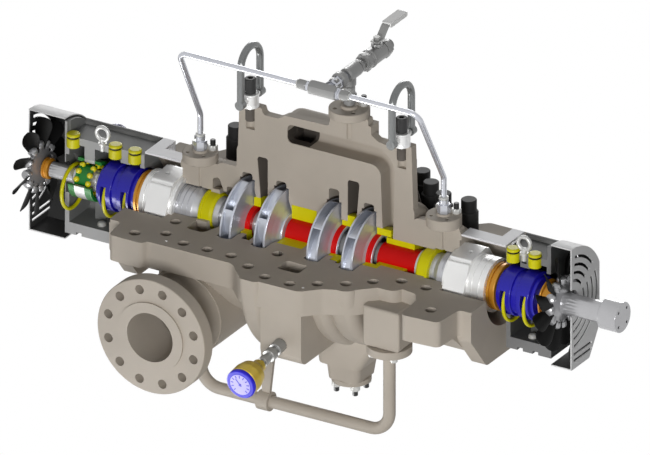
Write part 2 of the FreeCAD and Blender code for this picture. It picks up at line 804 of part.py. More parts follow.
def thrust_bearing():
    """Outer race and balls of the double-row thrust bearing."""
    outer = turned([
        (-822, 50), (-822, 60, 3), (-744, 60, 3), (-744, 50),
    ])
    rows = (-803.0, -763.0)
    for x in rows:
        outer = outer.cut(Part.makeTorus(42.5, 9.3, V(x, 0, 0), V(1, 0, 0)))
    save("thrust_bearing", without_front_top(outer))
    balls = []
    for k, x in enumerate(rows):
        for y, z in around((0, 0), 42.5, 11, 8.0 * k):
            balls.append(Part.makeSphere(9.0, V(x, y, z)))
    cage = [ring(x - 4, x + 4, 45.5, 39.5) for x in rows]
    cage = cage[0].fuse([cage[1]] + [ring(-807, -759, 41.0, 39.5)])
    save("thrust_balls", cage.fuse(balls))


def cover_outline(inset, level):
    """Back half of the fan cover's outline, moved in by the plate thickness."""
    r = COVER_R - inset
    side = COVER_SIDE - inset
    bottom = COVER_BOTTOM + inset
    rise = math.sqrt(r * r - side * side)
    mid = math.radians(0.5 * (90 + math.degrees(math.atan2(rise, side))))
    top = V(level, 0, r)
    turn = V(level, r * math.cos(mid), r * math.sin(mid))
    shoulder = V(level, side, rise)
    edges = [Part.Arc(top, turn, shoulder).toShape()]
    spots = [shoulder, V(level, side, -127), V(level, side - 38, -184 + inset),
             V(level, 100 - inset, bottom), V(level, 0, bottom), top]
    for a, b in zip(spots[:-1], spots[1:]):
        edges.append(Part.makeLine(a, b))
    return Part.Wire(edges)


def arc_slot(x0, x1, radius, width, first, last):
    """Slot that follows a circle about the shaft, through the end plate."""
    body = ring(x0, x1, radius + width / 2, radius - width / 2)
    a = math.radians(first)
    b = math.radians(last)
    reach = 2.0 * (radius + width)
    wedge = Part.makePolygon([
        V(x0, 0, 0), V(x0, reach * math.sin(a), reach * math.cos(a)),
        V(x0, reach * math.sin((a + b) / 2) * 1.3, reach * math.cos((a + b) / 2) * 1.3),
        V(x0, reach * math.sin(b), reach * math.cos(b)), V(x0, 0, 0),
    ])
    return body.common(Part.Face(wedge).extrude(V(x1 - x0, 0, 0)))


def fan_cover(inner, outer):
    """Slotted sheet cover around a fan, back half only."""
    side = 1 if outer > inner else -1
    sheet = 4.0
    low, high = min(inner, outer), max(inner, outer)
    whole = Part.Face(cover_outline(0.0, low)).extrude(V(high - low, 0, 0))
    room_low = low + sheet if side < 0 else low - 1
    room_high = high - sheet if side > 0 else high + 1
    room = Part.Face(cover_outline(sheet, room_low)).extrude(V(room_high - room_low, 0, 0))
    room = room.fuse(block((room_low, room_high), (-5, 5), (COVER_BOTTOM + sheet, COVER_R - sheet)))
    body = whole.cut(room)
    end = (outer - 6, outer + 6)
    cuts = []
    for radius in (70, 94, 118, 142):
        for first in (8, 68, 128):
            cuts.append(arc_slot(end[0], end[1], radius, 9, first, first + 46))
    for z in (-166, -186):
        cuts.append(block(end, (12, 112), (z - 4, z + 4)))
    cuts.append(cylinder("x", 42.0, end[0], end[1]))
    return body.cut(cuts)


def fan_covers():
    """Both fan covers."""
    save("fan_cover_nde", fan_cover(NDE_HOUSING_END, -985.0))
    save("fan_cover_de", fan_cover(DE_HOUSING_END, 818.0))


def small_housing_parts():
    """Isolators, oil rings, breather caps and eye bolts."""
    outboard = turned([
        (738, JOURNAL_R + GAP), (738, 58, 2), (744, 58, 2), (744, 50), (770, 48, 4),
        (770, JOURNAL_R + GAP),
    ])
    inboard = turned([
        (572, 50), (572, 70, 3), (582, 70), (582, 66), (588, 66), (588, 70), (600, 70, 3),
        (600, 50),
    ])
    far = turned([
        (-600, 50), (-600, 70, 3), (-590, 70), (-590, 66), (-584, 66), (-584, 70),
        (-574, 70, 3), (-574, 50),
    ])
    save("bearing_isolators", Part.makeCompound([outboard, inboard, far]))
    rings = [oil_ring(-837, THRUST_R)]
    for low, high in (NDE_BEARING, DE_BEARING):
        rings.append(oil_ring((low + high - RING_SPACING) / 2.0, JOURNAL_R))
        rings.append(oil_ring((low + high + RING_SPACING) / 2.0, JOURNAL_R))
    save("oil_rings", Part.makeCompound(rings))
    caps = []
    for x in CAP_X:
        caps.append(turned([
            (CAP_FOOT, 0), (CAP_FOOT, CAP_R, 2), (CAP_FOOT + 27, CAP_R, 2), (CAP_FOOT + 29, 17),
            (CAP_FOOT + 33, 17), (CAP_FOOT + 35, CAP_R, 2), (CAP_TOP, CAP_R, 5), (CAP_TOP, 0),
        ], "z", (x, 0)))
    save("breather_caps", Part.makeCompound(caps))
    eyes = []
    for x in EYE_X:
        stem = cylinder("z", EYE_STEM_R, HOUSING_TOP - 20, HOUSING_TOP + 18, (x, 0))
        foot = cylinder("z", 13.0, HOUSING_TOP + GAP, HOUSING_TOP + 6, (x, 0))
        hoop = Part.makeTorus(20.0, 6.0, V(x, 0, HOUSING_TOP + 34), V(0, 1, 0))
        eyes.append(fused([stem, foot, hoop]))
    save("eye_bolts", Part.makeCompound(eyes))


# Rotor


def shaft():
    """Stepped shaft from the fan end to the drive hub."""
    body = turned([
        (NDE_TIP, 0), (NDE_TIP, TIP_R, 1), (-905, TIP_R), (-905, THRUST_R), (-822, THRUST_R),
        (-822, 32.5, 2), (-744, 32.5, 2), (-744, THRUST_R), (-742, THRUST_R), (-742, JOURNAL_R), (-560, JOURNAL_R), (-560, SHAFT_R), (560, SHAFT_R),
        (560, JOURNAL_R), (775, JOURNAL_R), (775, 32), (929, 32), (929, 46, 2),
        (DE_TIP, 46, 2), (DE_TIP, 0),
    ])
    holes = [cylinder("x", 4.5, DE_TIP - 16, DE_TIP + 1, p) for p in around((0, 0), 32, 4, 45)]
    return body.cut(holes)


def impeller(centre, eye, hub_reach):
    """Shrouded impeller: hub, two shrouds and backward-curved vanes between them."""
    half = IMPELLER_HALF
    rim = IMPELLER_R
    hub = turned([
        (-20, SHAFT_R), (-20, 44), (-4, 48, 20), (half - 6, 88, 40), (half - 6, rim),
        (half, rim, 1.5), (half + 1, 94, 20), (half + 1, 58, 4), (hub_reach, 56, 3),
        (hub_reach, SHAFT_R),
    ])
    if hub_reach > half + 8:
        hub = hub.fuse(turned([
            (half, SHAFT_R), (half, 98), (half + 5, 64, 30), (hub_reach, 50, 4),
            (hub_reach, SHAFT_R),
        ]))
    cover = turned([
        (-half, rim, 1.5), (-half + 6, rim), (-half + 5, 90, 30), (-half - 6, 55, 8),
        (-EYE_REACH, 54), (-EYE_REACH, EYE_R, 1.5), (-EYE_REACH + 2, EYE_R),
        (-EYE_REACH + 2, EYE_BAND), (-BAND_NEAR, EYE_BAND), (-BAND_NEAR, EYE_R),
        (-half - 2, 72, 10), (-half - 0.5, 100, 20),
    ])
    vanes = [vane(i * 360.0 / VANES) for i in range(VANES)]
    body = fused([hub, cover] + vanes)
    if eye > 0:
        body.rotate(V(0, 0, 0), V(0, 0, 1), 180)
    body.translate(V(centre, 0, 0))
    return body


def vane(turn):
    """Curved blade that joins the two shrouds, from the eye to the rim."""
    half = IMPELLER_HALF
    outer = []
    inner = []
    for k in range(9):
        t = k / 8.0
        r = 66 + (IMPELLER_R - 1.5 - 66) * t
        a = math.radians(turn - 62.0 * t ** 1.15)
        thick = math.radians(4.2 - 2.4 * t)
        outer.append(V(0, r * math.cos(a), r * math.sin(a)))
        inner.append(V(0, r * math.cos(a + thick), r * math.sin(a + thick)))
    one = Part.BSplineCurve()
    one.interpolate(outer)
    two = Part.BSplineCurve()
    two.interpolate(list(reversed(inner)))
    edges = [one.toShape(), Part.makeLine(outer[-1], inner[-1]), two.toShape(),
             Part.makeLine(inner[0], outer[0])]
    face = Part.Face(Part.Wire(edges))
    face.translate(V(-half + 2, 0, 0))
    blade = face.extrude(V(2 * half - 4, 0, 0))
    envelope = turned([
        (half - 3, 60), (half - 3, IMPELLER_R - 1), (-half + 3, IMPELLER_R - 1),
        (-half + 3, 98), (-half + 2, 60),
    ])
    return blade.common(envelope)


def rotor():
    """Shaft, impellers, sleeves, seal sleeves and fans."""
    save("shaft", shaft())
    for i, (centre, eye, _) in enumerate(STAGES):
        save("impeller_%d" % (i + 1), impeller(centre, eye, 21.0 if i == 0 else HUB_REACH))
    sleeves = [
        ring(-238, -222, HUB_RING_R, SHAFT_R),
        ring(-110, -9, SLEEVE_R, SHAFT_R),
        ring(196, 322, SLEEVE_R, SHAFT_R),
    ]
    for centre, eye, _ in STAGES:
        ends = (centre + eye * BAND_NEAR, centre + eye * (EYE_REACH - 2))
        sleeves.append(ring(min(ends), max(ends), EYE_R, EYE_BAND))
    save("rotor_sleeves", Part.makeCompound(sleeves))
    save("seal_sleeves", Part.makeCompound([
        seal_sleeve(-1, -328.0, -574.0), seal_sleeve(1, 324.0, 560.0),
    ]))
    save("fan_nde", nde_fan())
    save("fan_de", de_fan())


def seal_sleeve(side, inner, outer):
    """Stepped and grooved sleeve that turns inside a seal chamber."""
    profile = [(0, SHAFT_R), (0, SEAL_SHAFT_R, 1), (64, SEAL_SHAFT_R), (82, SEAL_SLEEVE_R, 2)]
    for groove in (95, 112, 127):
        profile += [(groove, SEAL_SLEEVE_R), (groove, SEAL_SLEEVE_R - 2),
                    (groove + 3, SEAL_SLEEVE_R - 2), (groove + 3, SEAL_SLEEVE_R)]
    length = abs(outer - inner)
    profile += [(length - 38, SEAL_SLEEVE_R), (length - 38, 50), (length, 48, 2),
                (length, SHAFT_R)]
    return turned([(inner + side * p[0],) + tuple(p[1:]) for p in profile])


def nde_fan():
    """Fan at the thrust end: knobbed disc hub with broad curved leaves."""
    hub = turned([
        (-12, TIP_R), (-12, 38, 3), (-4, 52, 4), (6, 52, 4), (12, 30, 3), (12, TIP_R),
    ])
    knobs = [cylinder("x", 8.5, -12, 12, p) for p in around((0, 0), 46, 12)]
    leaves = [leaf(30.0 * i, 46.0, 108.0, 21.0, 42.0) for i in range(12)]
    collar = turned([
        (31, TIP_R), (31, 45, 3), (37, 45), (37, 41), (43, 41), (43, 45, 3), (51, 45, 3),
        (51, 24 + GAP), (46, 24 + GAP), (46, TIP_R),
    ])
    body = fused([hub] + knobs + leaves + [ring(10, 33, 18.0, TIP_R), collar])
    body.translate(V(-951, 0, 0))
    return body


def de_fan():
    """Fan at the drive end: lobed hub with many narrow blades."""
    hub = turned([
        (-14, 32), (-14, 46, 3), (-6, 50, 3), (8, 50, 3), (14, 46, 3), (14, 32),
    ])
    lobes = [cylinder("x", 7.0, -12, 12, p) for p in around((0, 0), 46, 11)]
    blades = [leaf(360.0 * i / 22, 46.0, 104.0, 10.0, 34.0) for i in range(22)]
    body = fused([hub] + lobes + blades)
    body.translate(V(790, 0, 0))
    return body


def leaf(turn, root, tip, half_width, pitch):
    """Curved fan blade: its root is narrow, its tip broad, and it is set at a pitch."""
    sheet = 1.6
    outer = [(-half_width * 0.55, root), (-half_width, tip - half_width * 0.8, half_width * 0.5),
             (-half_width * 0.5, tip, half_width * 0.3), (half_width * 0.5, tip, half_width * 0.3),
             (half_width, tip - half_width * 0.8, half_width * 0.5), (half_width * 0.55, root)]
    blade = prism(outer, "y", -40, 40)
    curve = ring(-60, 60, 90.0 + sheet, 90.0 - sheet)
    curve.rotate(V(0, 0, 0), V(0, 1, 0), 90)
    curve.translate(V(0, -90, 0))
    curve.translate(V(0, 0, 60))
    blade = blade.common(curve)
    blade.rotate(V(0, 0, 0), V(0, 0, 1), pitch)
    blade.rotate(V(0, 0, 0), V(1, 0, 0), turn)
    return blade


# Pipes and ports


def port_flanges():
    """Round flanges on the vent boss and the two flush bosses."""
    discs = [turned([
        (418.4, 0), (418.4, 60, 2), (VENT_TOP, 60, 3), (VENT_TOP, 26, 2), (VENT_TOP + 8, 24, 2),
        (VENT_TOP + 8, 0),
    ], "z", (VENT_X, 0))]
    for x in FLUSH_X:
        base = 152.5 if x < 0 else 148.5
        discs.append(turned([
            (base, 0), (base, 52, 2), (FLUSH_TOP, 52, 3), (FLUSH_TOP, 22, 2),
            (FLUSH_TOP + 6, 20, 2), (FLUSH_TOP + 6, 0),
        ], "z", (x, 0)))
    holes = [cylinder("z", 6.0, 400, 470, p) for p in around((VENT_X, 0), 43, 4, 45)]
    for x in FLUSH_X:
        holes += [cylinder("z", 5.5, 140, 200, p) for p in around((x, 0), 37, 4, 45)]
    save("port_flanges", Part.makeCompound([d.cut(holes) for d in discs]))


TUBE_R = 8.5
TUBE_Y = -131.0
TUBE_Z = 550.0


def flush_tube():
    """Vent tee, its branch and the long tube down to both flush ports."""
    line = tube([
        (FLUSH_X[0], 0, 214), (FLUSH_X[0], 0, 300), (-410, TUBE_Y, TUBE_Z),
        (385, TUBE_Y, TUBE_Z), (FLUSH_X[1], 0, 298), (FLUSH_X[1], 0, 214),
    ], TUBE_R, 34.0)
    ends = [hexagon("z", 34.0, FLUSH_TOP + 6.4, FLUSH_TOP + 34, (x, 0)) for x in FLUSH_X]
    ends += [cylinder("z", 14.0, FLUSH_TOP + 30, FLUSH_TOP + 48, (x, 0)) for x in FLUSH_X]
    tee = [hexagon("x", 32.0, 36, 124, (TUBE_Y, TUBE_Z)), hexagon("x", 26.0, 18, 142, (TUBE_Y, TUBE_Z))]
    branch = [cylinder("y", 13.0, TUBE_Y, -19.0 - GAP, (VENT_X, TUBE_Z)),
              hexagon("y", 34.0, -104, -62, (VENT_X, TUBE_Z))]
    return fused([line] + ends + tee + branch)


def vent_valve():
    """Nipple, tee and the ball valve on the vent."""
    parts = [
        cylinder("z", 12.0, VENT_TOP + 8.4, TUBE_Z, (VENT_X, 0)),
        hexagon("z", 38.0, VENT_TOP + 30, VENT_TOP + 52, (VENT_X, 0)),
        cylinder("z", 19.0, TUBE_Z - 34, TUBE_Z + 19, (VENT_X, 0)),
        cylinder("y", 17.0, -12, 32, (VENT_X, TUBE_Z)),
        cylinder("y", 13.0, 30, 110, (VENT_X, TUBE_Z)),
        hexagon("y", 40.0, 52, 88, (VENT_X, TUBE_Z)),
        hexagon("y", 46.0, 104, 134, (VENT_X, TUBE_Z)),
        cylinder("y", 26.0, 130, 184, (VENT_X, TUBE_Z)),
        hexagon("y", 46.0, 180, 206, (VENT_X, TUBE_Z)),
        cylinder("y", 17.0, 204, 227, (VENT_X, TUBE_Z)),
        cylinder("z", 11.0, TUBE_Z, TUBE_Z + 38, (VENT_X, 155)),
    ]
    body = fused(parts)
    return body.cut(cylinder("y", 10.0, 190, 230, (VENT_X, TUBE_Z)))


def valve_lever():
    """Flat cranked handle with its grip, lying along the open valve."""
    seat = TUBE_Z + 38.4
    strip = prism([
        (138, seat), (138, seat + 5), (172, seat + 5, 12), (200, seat + 32, 14), (298, seat + 32),
        (298, seat + 27), (202, seat + 27, 14), (174, seat, 12),
    ], "x", VENT_X - 12, VENT_X + 12)
    grip = prism([
        (208, seat + 22, 5), (208, seat + 37, 5), (300, seat + 37, 5), (300, seat + 22, 5),
    ], "x", VENT_X - 15, VENT_X + 15)
    nut = hexagon("z", 18.0, seat, seat + 14, (VENT_X, 155))
    return fused([strip, grip, nut])


def hoist(name, x):
    """Swivel hoist ring: fixed bolt, turning body and pivoting bail."""
    seat = HOIST_SEAT + GAP
    bolt = fused([
        cylinder("z", 13.0, HOIST_SEAT - 46, seat + 45, (x, 0)),
        turned([(seat + 42, 0), (seat + 42, 17, 2), (seat + 88, 17, 3), (seat + 88, 0)],
               "z", (x, 0)),
    ])
    bolt = bolt.cut(hexagon("z", 16.0, seat + 70, seat + 90, (x, 0)))
    save("hoist_bolt_" + name, bolt)
    body = turned([
        (seat, 13.0 + GAP), (seat, 27), (seat + 8, 25), (seat + 34, 25), (seat + 35, 27, 2),
        (seat + 41.6, 27, 2), (seat + 41.6, 13.0 + GAP),
    ], "z", (x, 0))
    pins = cylinder("y", PIN_R, -43, 43, (x, seat + PIN_RISE))
    body = body.fuse(pins).cut(cylinder("z", 13.0 + GAP, seat - 1, seat + 60, (x, 0)))
    save("hoist_swivel_" + name, body.removeSplitter())
    low = seat + PIN_RISE
    loop = tube([
        (x, -BAIL_LEG, low - 2), (x, -BAIL_LEG, BAIL_TOP), (x, BAIL_LEG, BAIL_TOP),
        (x, BAIL_LEG, low - 2),
    ], 11.0, BAIL_LEG - 0.5)
    cheeks = [cylinder("y", 14.0, s * BAIL_LEG - 10, s * BAIL_LEG + 10, (x, low))
              for s in (-1, 1)]
    bail = fused([loop] + cheeks)
    save("hoist_bail_" + name, bail.cut(cylinder("y", PIN_R + RUN, -44, 44, (x, low))))


def balance_line():
    """Return pipe from the balance chamber to the suction side, with its end flange."""
    x = 326.0
    line = tube([
        (x, LINE_Y, -190), (x, LINE_Y, LINE_Z), (-300, LINE_Y, LINE_Z), (-300, LINE_Y, -358),
    ], LINE_R, 62.0)
    flange = turned([(-191, 0), (-191, 66, 2), (-167, 66, 2), (-167, 0)], "z", (x, LINE_Y))
    return fused([line, flange])


def line_bracket():
    """Clamp and tapered strut that hold the balance pipe under the big disc."""
    hole = cylinder("x", LINE_R + 0.2, -120, -30, (LINE_Y, LINE_Z))
    clamp = cylinder("x", LINE_R + 11, -104, -82, (LINE_Y, LINE_Z))
    strut = prism([
        (-94, LINE_Z + 20), (-100, -200), (-44, -200), (-70, LINE_Z + 20),
    ], "y", LINE_Y - 6, LINE_Y + 6)
    under = cylinder("x", DISC_R + GAP, -120, -20)
    foot = cylinder("x", LINE_R + 11, -104, -66, (LINE_Y, LINE_Z))
    return fused([clamp, foot, strut]).cut([hole, under])


def thermometer():
    """Fittings and bell on the front of the box, and the dial in front of them."""
    body = fused([
        turned([(GAP, 0), (GAP, 20, 2), (34, 20, 2), (34, 13), (48, 13), (48, 20, 2), (70, 20, 2),
                (70, 12), (82, 12), (82, 16, 2), (104, 16, 2), (104, 11), (126, 11), (126, 0)], "z"),
        turned([(118, 0), (118, 20, 3), (136, 22, 6), (160, 40, 14), (186, 46, 6), (216, 46, 3),
                (216, 0)], "z"),
    ])
    face = turned([(216.4, 0), (216.4, 46, 3), (230, 46, 4), (230, 0)], "z")
    for piece, name in ((body, "thermometer_stem"), (face, "thermometer_dial")):
        piece.rotate(V(0, 0, 0), V(1, 0, 0), 90 + DIAL_TILT)
        piece.translate(V(DIAL_X, -BOX_HALF, DIAL_Z))
    save("thermometer_dial", face)
    save("thermometer_stem", body.cut(block((-200, 200), (-BOX_HALF - 0.2, 0), (-400, 0))))


def lesser_parts():
    """Drain flange, cap nuts, oiler and guard plates."""
    drain = turned([(-404.2, 0), (-404.2, 58, 2), (-419, 58, 2), (-419, 0)], "z", (87, 0))
    save("drain_flange", drain)
    nuts = []
    for x, y in SPLIT_BOLTS:
        if (x, y) in NO_NUT:
            continue
        nuts.append(turned([
            (FLANGE_T, 0), (FLANGE_T, 28), (FLANGE_T + 64, 28, 3), (FLANGE_T + 66, 23),
            (FLANGE_T + 102, 23, 3), (FLANGE_T + 102, 0),
        ], "z", (x, y)))
    save("cap_nuts", Part.makeCompound(nuts))
    oiler = fused([
        cylinder("z", 30.0, 10, 66, (-800, HOUSING_HALF + 46)),
        cylinder("z", 24.0, -12, 12, (-800, HOUSING_HALF + 46)),
        cylinder("y", 8.0, HOUSING_HALF, HOUSING_HALF + 40, (-800, 0)),
        cylinder("z", 12.0, 64, 78, (-800, HOUSING_HALF + 46)),
    ])
    save("oiler", oiler)
    plates = [
        fused([block((-599, -481), (0, 48), (126, 132)), block((-599, -560), (0, 106), (126, 132))]),
        fused([block((453, 599), (0, 48), (126, 132)), block((560, 599), (0, 106), (126, 132))]),
    ]
    legs = [
        block((-599, -560), (100, 106), (FLANGE_T, 126)),
        block((560, 599), (100, 106), (FLANGE_T, 126)),
    ]
    save("guard_plates", Part.makeCompound([a.fuse(b) for a, b in zip(plates, legs)]))


def main():
    """Build and write every piece."""
    save("lower_casing", lower_casing())
    save("upper_casing", upper_casing())
    save("suction_nozzle", suction_nozzle())
    save("discharge_nozzle", discharge_nozzle())
    bushes()
    seal_parts()
    save("journal_bearing_nde", journal_bearing(*NDE_BEARING))
    save("journal_bearing_de", journal_bearing(*DE_BEARING))
    thrust_bearing()
    housings()
    fan_covers()
    small_housing_parts()
    rotor()
    port_flanges()
    save("flush_tube", flush_tube())
    save("vent_valve", vent_valve())
    save("valve_lever", valve_lever())
    for name, x in (("nde", HOIST_X[0]), ("de", HOIST_X[1])):
        hoist(name, x)
    save("balance_line", balance_line())
    save("line_bracket", line_bracket())
    thermometer()
    lesser_parts()


main()
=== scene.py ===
"""Looks of a cutaway split case pump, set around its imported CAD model.

The sections follow the pump as it is put together: casing halves, bushes,
rotor, bearings, housings, fans and covers, piping and valve, lifting gear,
thermometer and oiler, studs and nuts, dial face, wire guard, small fittings,
and last the studio. Everything is in metres, in the frame of the CAD model,
whose origin is the middle of the foot plane, with the shaft AXIS_Z above it.
"""
import math

import bpy
import numpy as np
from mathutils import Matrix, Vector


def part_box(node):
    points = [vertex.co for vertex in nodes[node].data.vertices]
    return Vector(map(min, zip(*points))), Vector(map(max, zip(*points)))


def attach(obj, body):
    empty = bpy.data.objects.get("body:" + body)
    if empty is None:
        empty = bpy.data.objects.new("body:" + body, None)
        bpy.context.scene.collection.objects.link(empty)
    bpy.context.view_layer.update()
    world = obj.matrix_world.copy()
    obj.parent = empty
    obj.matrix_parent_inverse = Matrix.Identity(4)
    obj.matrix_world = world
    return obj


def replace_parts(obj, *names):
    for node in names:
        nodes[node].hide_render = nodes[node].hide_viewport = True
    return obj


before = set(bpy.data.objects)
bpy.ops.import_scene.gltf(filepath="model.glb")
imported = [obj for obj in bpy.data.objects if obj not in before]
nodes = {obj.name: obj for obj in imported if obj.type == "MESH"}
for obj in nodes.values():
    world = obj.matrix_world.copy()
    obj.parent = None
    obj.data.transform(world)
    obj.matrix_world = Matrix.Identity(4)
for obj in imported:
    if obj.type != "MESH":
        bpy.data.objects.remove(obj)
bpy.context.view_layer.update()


# Casing halves
# Both halves are steel castings, machined on the split and sprayed with one
# coat of warm grey; passages that open behind the cut are rougher, with painted
# shade in them, darkest in the top duct.
AXIS_Z = 0.085


def linear(red, green, blue):
    """Shader colour of a paint chip given in 0 to 255 screen values."""
    chip = np.array([red, green, blue]) / 255.0
    lin = np.where(chip <= 0.04045, chip / 12.92, ((chip + 0.055) / 1.055) ** 2.4)
    return (*lin.tolist(), 1.0)


def measure(tree, place, field):
    """Socket with a point's x, y or z, or r, its distance from the shaft's axis."""
    split = tree.nodes.new("ShaderNodeSeparateXYZ")
    tree.links.new(place.outputs["Object"], split.inputs[0])
    if field in ("x", "y", "z"):
        return split.outputs["xyz".index(field)]
    lift = tree.nodes.new("ShaderNodeMath")
    lift.operation = "SUBTRACT"
    lift.inputs[1].default_value = AXIS_Z
    tree.links.new(split.outputs[2], lift.inputs[0])
    square = tree.nodes.new("ShaderNodeCombineXYZ")
    tree.links.new(split.outputs[1], square.inputs[1])
    tree.links.new(lift.outputs[0], square.inputs[2])
    length = tree.nodes.new("ShaderNodeVectorMath")
    length.operation = "LENGTH"
    tree.links.new(square.outputs[0], length.inputs[0])
    return length.outputs["Value"]


def inside(tree, place, where):
    """Socket that is 1 where every (field, low, high) of the list holds, else 0."""
    total = None
    for field, low, high in where:
        test = tree.nodes.new("ShaderNodeMath")
        test.operation = "COMPARE"
        test.inputs[1].default_value = (low + high) / 2.0
        test.inputs[2].default_value = (high - low) / 2.0
        tree.links.new(measure(tree, place, field), test.inputs[0])
        if total is None:
            total = test.outputs[0]
            continue
        both = tree.nodes.new("ShaderNodeMath")
        both.operation = "MULTIPLY"
        tree.links.new(total, both.inputs[0])
        tree.links.new(test.outputs[0], both.inputs[1])
        total = both.outputs[0]
    return total


def chosen(tree, factor, first, second, kind):
    """Mix node's output that goes from the first value to the second by a 0 to 1 factor."""
    mix = tree.nodes.new("ShaderNodeMix")
    mix.data_type = kind
    sockets = {"RGBA": (6, 7, 2), "FLOAT": (2, 3, 0)}[kind]
    tree.links.new(factor, mix.inputs[0])
    for socket, value in zip(sockets[:2], (first, second)):
        if isinstance(value, bpy.types.NodeSocket):
            tree.links.new(value, mix.inputs[socket])
        else:
            mix.inputs[socket].default_value = value
    return mix.outputs[sockets[2]]


def finish_of(name, colour, rough, metal=0.0, gloss=0.5, coat=0.0, spread=0.05,
              grain=0.0, grain_scale=140.0, bands=()):
    """Principled finish with a slow drift of tone, a fine grain and bands of other finishes.

    A band is (where, colour, rough, metal): inside it the surface has that finish instead.
    """
    mat = bpy.data.materials.new(name)
    mat.use_nodes = True
    tree = mat.node_tree
    shader = tree.nodes["Principled BSDF"]
    shader.inputs["Specular IOR Level"].default_value = gloss
    shader.inputs["Coat Weight"].default_value = coat
    place = tree.nodes.new("ShaderNodeTexCoord")
    tint, dull, metallic = colour, rough, metal
    for where, band_colour, band_rough, band_metal in bands:
        factor = inside(tree, place, where)
        tint = chosen(tree, factor, tint, band_colour, "RGBA")
        if band_rough != rough:
            dull = chosen(tree, factor, dull, band_rough, "FLOAT")
        if band_metal != metal:
            metallic = chosen(tree, factor, metallic, band_metal, "FLOAT")
    for socket, value in (("Roughness", dull), ("Metallic", metallic)):
        if isinstance(value, bpy.types.NodeSocket):
            tree.links.new(value, shader.inputs[socket])
        else:
            shader.inputs[socket].default_value = value
    drift = tree.nodes.new("ShaderNodeTexNoise")
    drift.inputs["Scale"].default_value = 7.0
    drift.inputs["Detail"].default_value = 4.0
    tree.links.new(place.outputs["Object"], drift.inputs["Vector"])
    shade = tree.nodes.new("ShaderNodeMapRange")
    shade.inputs["From Min"].default_value = 0.3
    shade.inputs["From Max"].default_value = 0.7
    shade.inputs["To Min"].default_value = 1.0 - spread
    shade.inputs["To Max"].default_value = 1.0 + spread
    tree.links.new(drift.outputs["Fac"], shade.inputs["Value"])
    scaled = tree.nodes.new("ShaderNodeVectorMath")
    scaled.operation = "SCALE"
    tree.links.new(shade.outputs["Result"], scaled.inputs["Scale"])
    if isinstance(tint, bpy.types.NodeSocket):
        tree.links.new(tint, scaled.inputs[0])
    else:
        scaled.inputs[0].default_value = tint[:3]
    tree.links.new(scaled.outputs[0], shader.inputs["Base Color"])
    if grain > 0:
        fine = tree.nodes.new("ShaderNodeTexNoise")
        fine.inputs["Scale"].default_value = grain_scale
        fine.inputs["Detail"].default_value = 3.0
        bump = tree.nodes.new("ShaderNodeBump")
        bump.inputs["Strength"].default_value = grain
        bump.inputs["Distance"].default_value = 0.001
        tree.links.new(place.outputs["Object"], fine.inputs["Vector"])
        tree.links.new(fine.outputs["Fac"], bump.inputs["Height"])
        tree.links.new(bump.outputs["Normal"], shader.inputs["Normal"])
    return mat


def dress(material, *names):
    """Give CAD nodes one finish."""
    for name in names:
        slots = nodes[name].data.materials
        slots.clear()
        slots.append(material)


CASING_GREY = linear(182, 173, 161)
# Painted shade: darker tones inside the passages behind the cut, where shade falls in them.
PASSAGE_SHADE = linear(112, 105, 97)
DUCT_SHADE = linear(72, 67, 62)
PASSAGE_ROUGH = 0.8
BEHIND_CUT = 0.003
UNDER_SPLIT = 0.0845
RISERS_X = ((-0.232, -0.180), (0.068, 0.118))
STAGES_X = (-0.30, 0.18)
STAGE_R = (0.064, 0.134)
duct_shade = ([("x", -0.128, -0.055), ("y", BEHIND_CUT, 0.096), ("z", 0.300, 0.400)],
        DUCT_SHADE, PASSAGE_ROUGH, 0.0)
riser_shade = [([("x", low, high), ("y", BEHIND_CUT, 0.085), ("z", 0.089, 0.297)],
           PASSAGE_SHADE, PASSAGE_ROUGH, 0.0) for low, high in RISERS_X]
lower_slot_shade = ([("x", *STAGES_X), ("y", -0.130, 0.130), ("r", *STAGE_R),
                ("z", -0.05, UNDER_SPLIT)], PASSAGE_SHADE, PASSAGE_ROUGH, 0.0)
upper_slot_shade = ([("x", *STAGES_X), ("y", BEHIND_CUT, 0.134), ("r", *STAGE_R)],
               PASSAGE_SHADE, PASSAGE_ROUGH, 0.0)
casing_paint_with_shade = finish_of("casing_paint_with_shade", CASING_GREY, 0.6, gloss=0.12, grain=0.2,
                         bands=(duct_shade, *riser_shade, lower_slot_shade, upper_slot_shade))
dress(casing_paint_with_shade, "lower_casing", "upper_casing", "suction_nozzle", "discharge_nozzle",
      "balance_line", "line_bracket", "drain_flange", "port_flanges")


# Bushes and wear rings
# Turned rings held in the casing; the cutaway paints them a bright yellow so
# that they stand out from the rotor, with a thin gloss coat.
SAMPLE_YELLOW = linear(214, 207, 6)
sample_yellow = finish_of("sample_yellow", SAMPLE_YELLOW, 0.4, gloss=0.2, coat=0.05, spread=0.03)
dress(sample_yellow, "centre_bush", "stage_bushes", "balance_bush", "throat_rings",
      "oil_rings")


# Rotor
# A ground steel shaft with polished cast impellers of a cold sheen, red sleeves
# between them and steel ones under the seals. The glands' bright machined
# finish is the hoist swivels' too.
shaft_steel = finish_of("shaft_steel", linear(186, 186, 188), 0.18, metal=0.5)
impeller_steel = finish_of("impeller_steel", linear(202, 206, 216), 0.28, metal=0.42)
sleeve_red = finish_of("sleeve_red", linear(205, 8, 6), 0.35, gloss=0.15, coat=0.04, spread=0.03)
bright_steel = finish_of("bright_steel", linear(242, 242, 241), 0.3, metal=0.35)
dress(shaft_steel, "shaft")
dress(impeller_steel, "impeller_1", "impeller_2", "impeller_3", "impeller_4")
dress(sleeve_red, "rotor_sleeves")
dress(bright_steel, "gland_nde", "gland_de", "hoist_swivel_nde", "hoist_swivel_de")
seal_steel = finish_of("seal_steel", linear(190, 191, 195), 0.3, metal=0.4)
dress(seal_steel, "seal_sleeves")


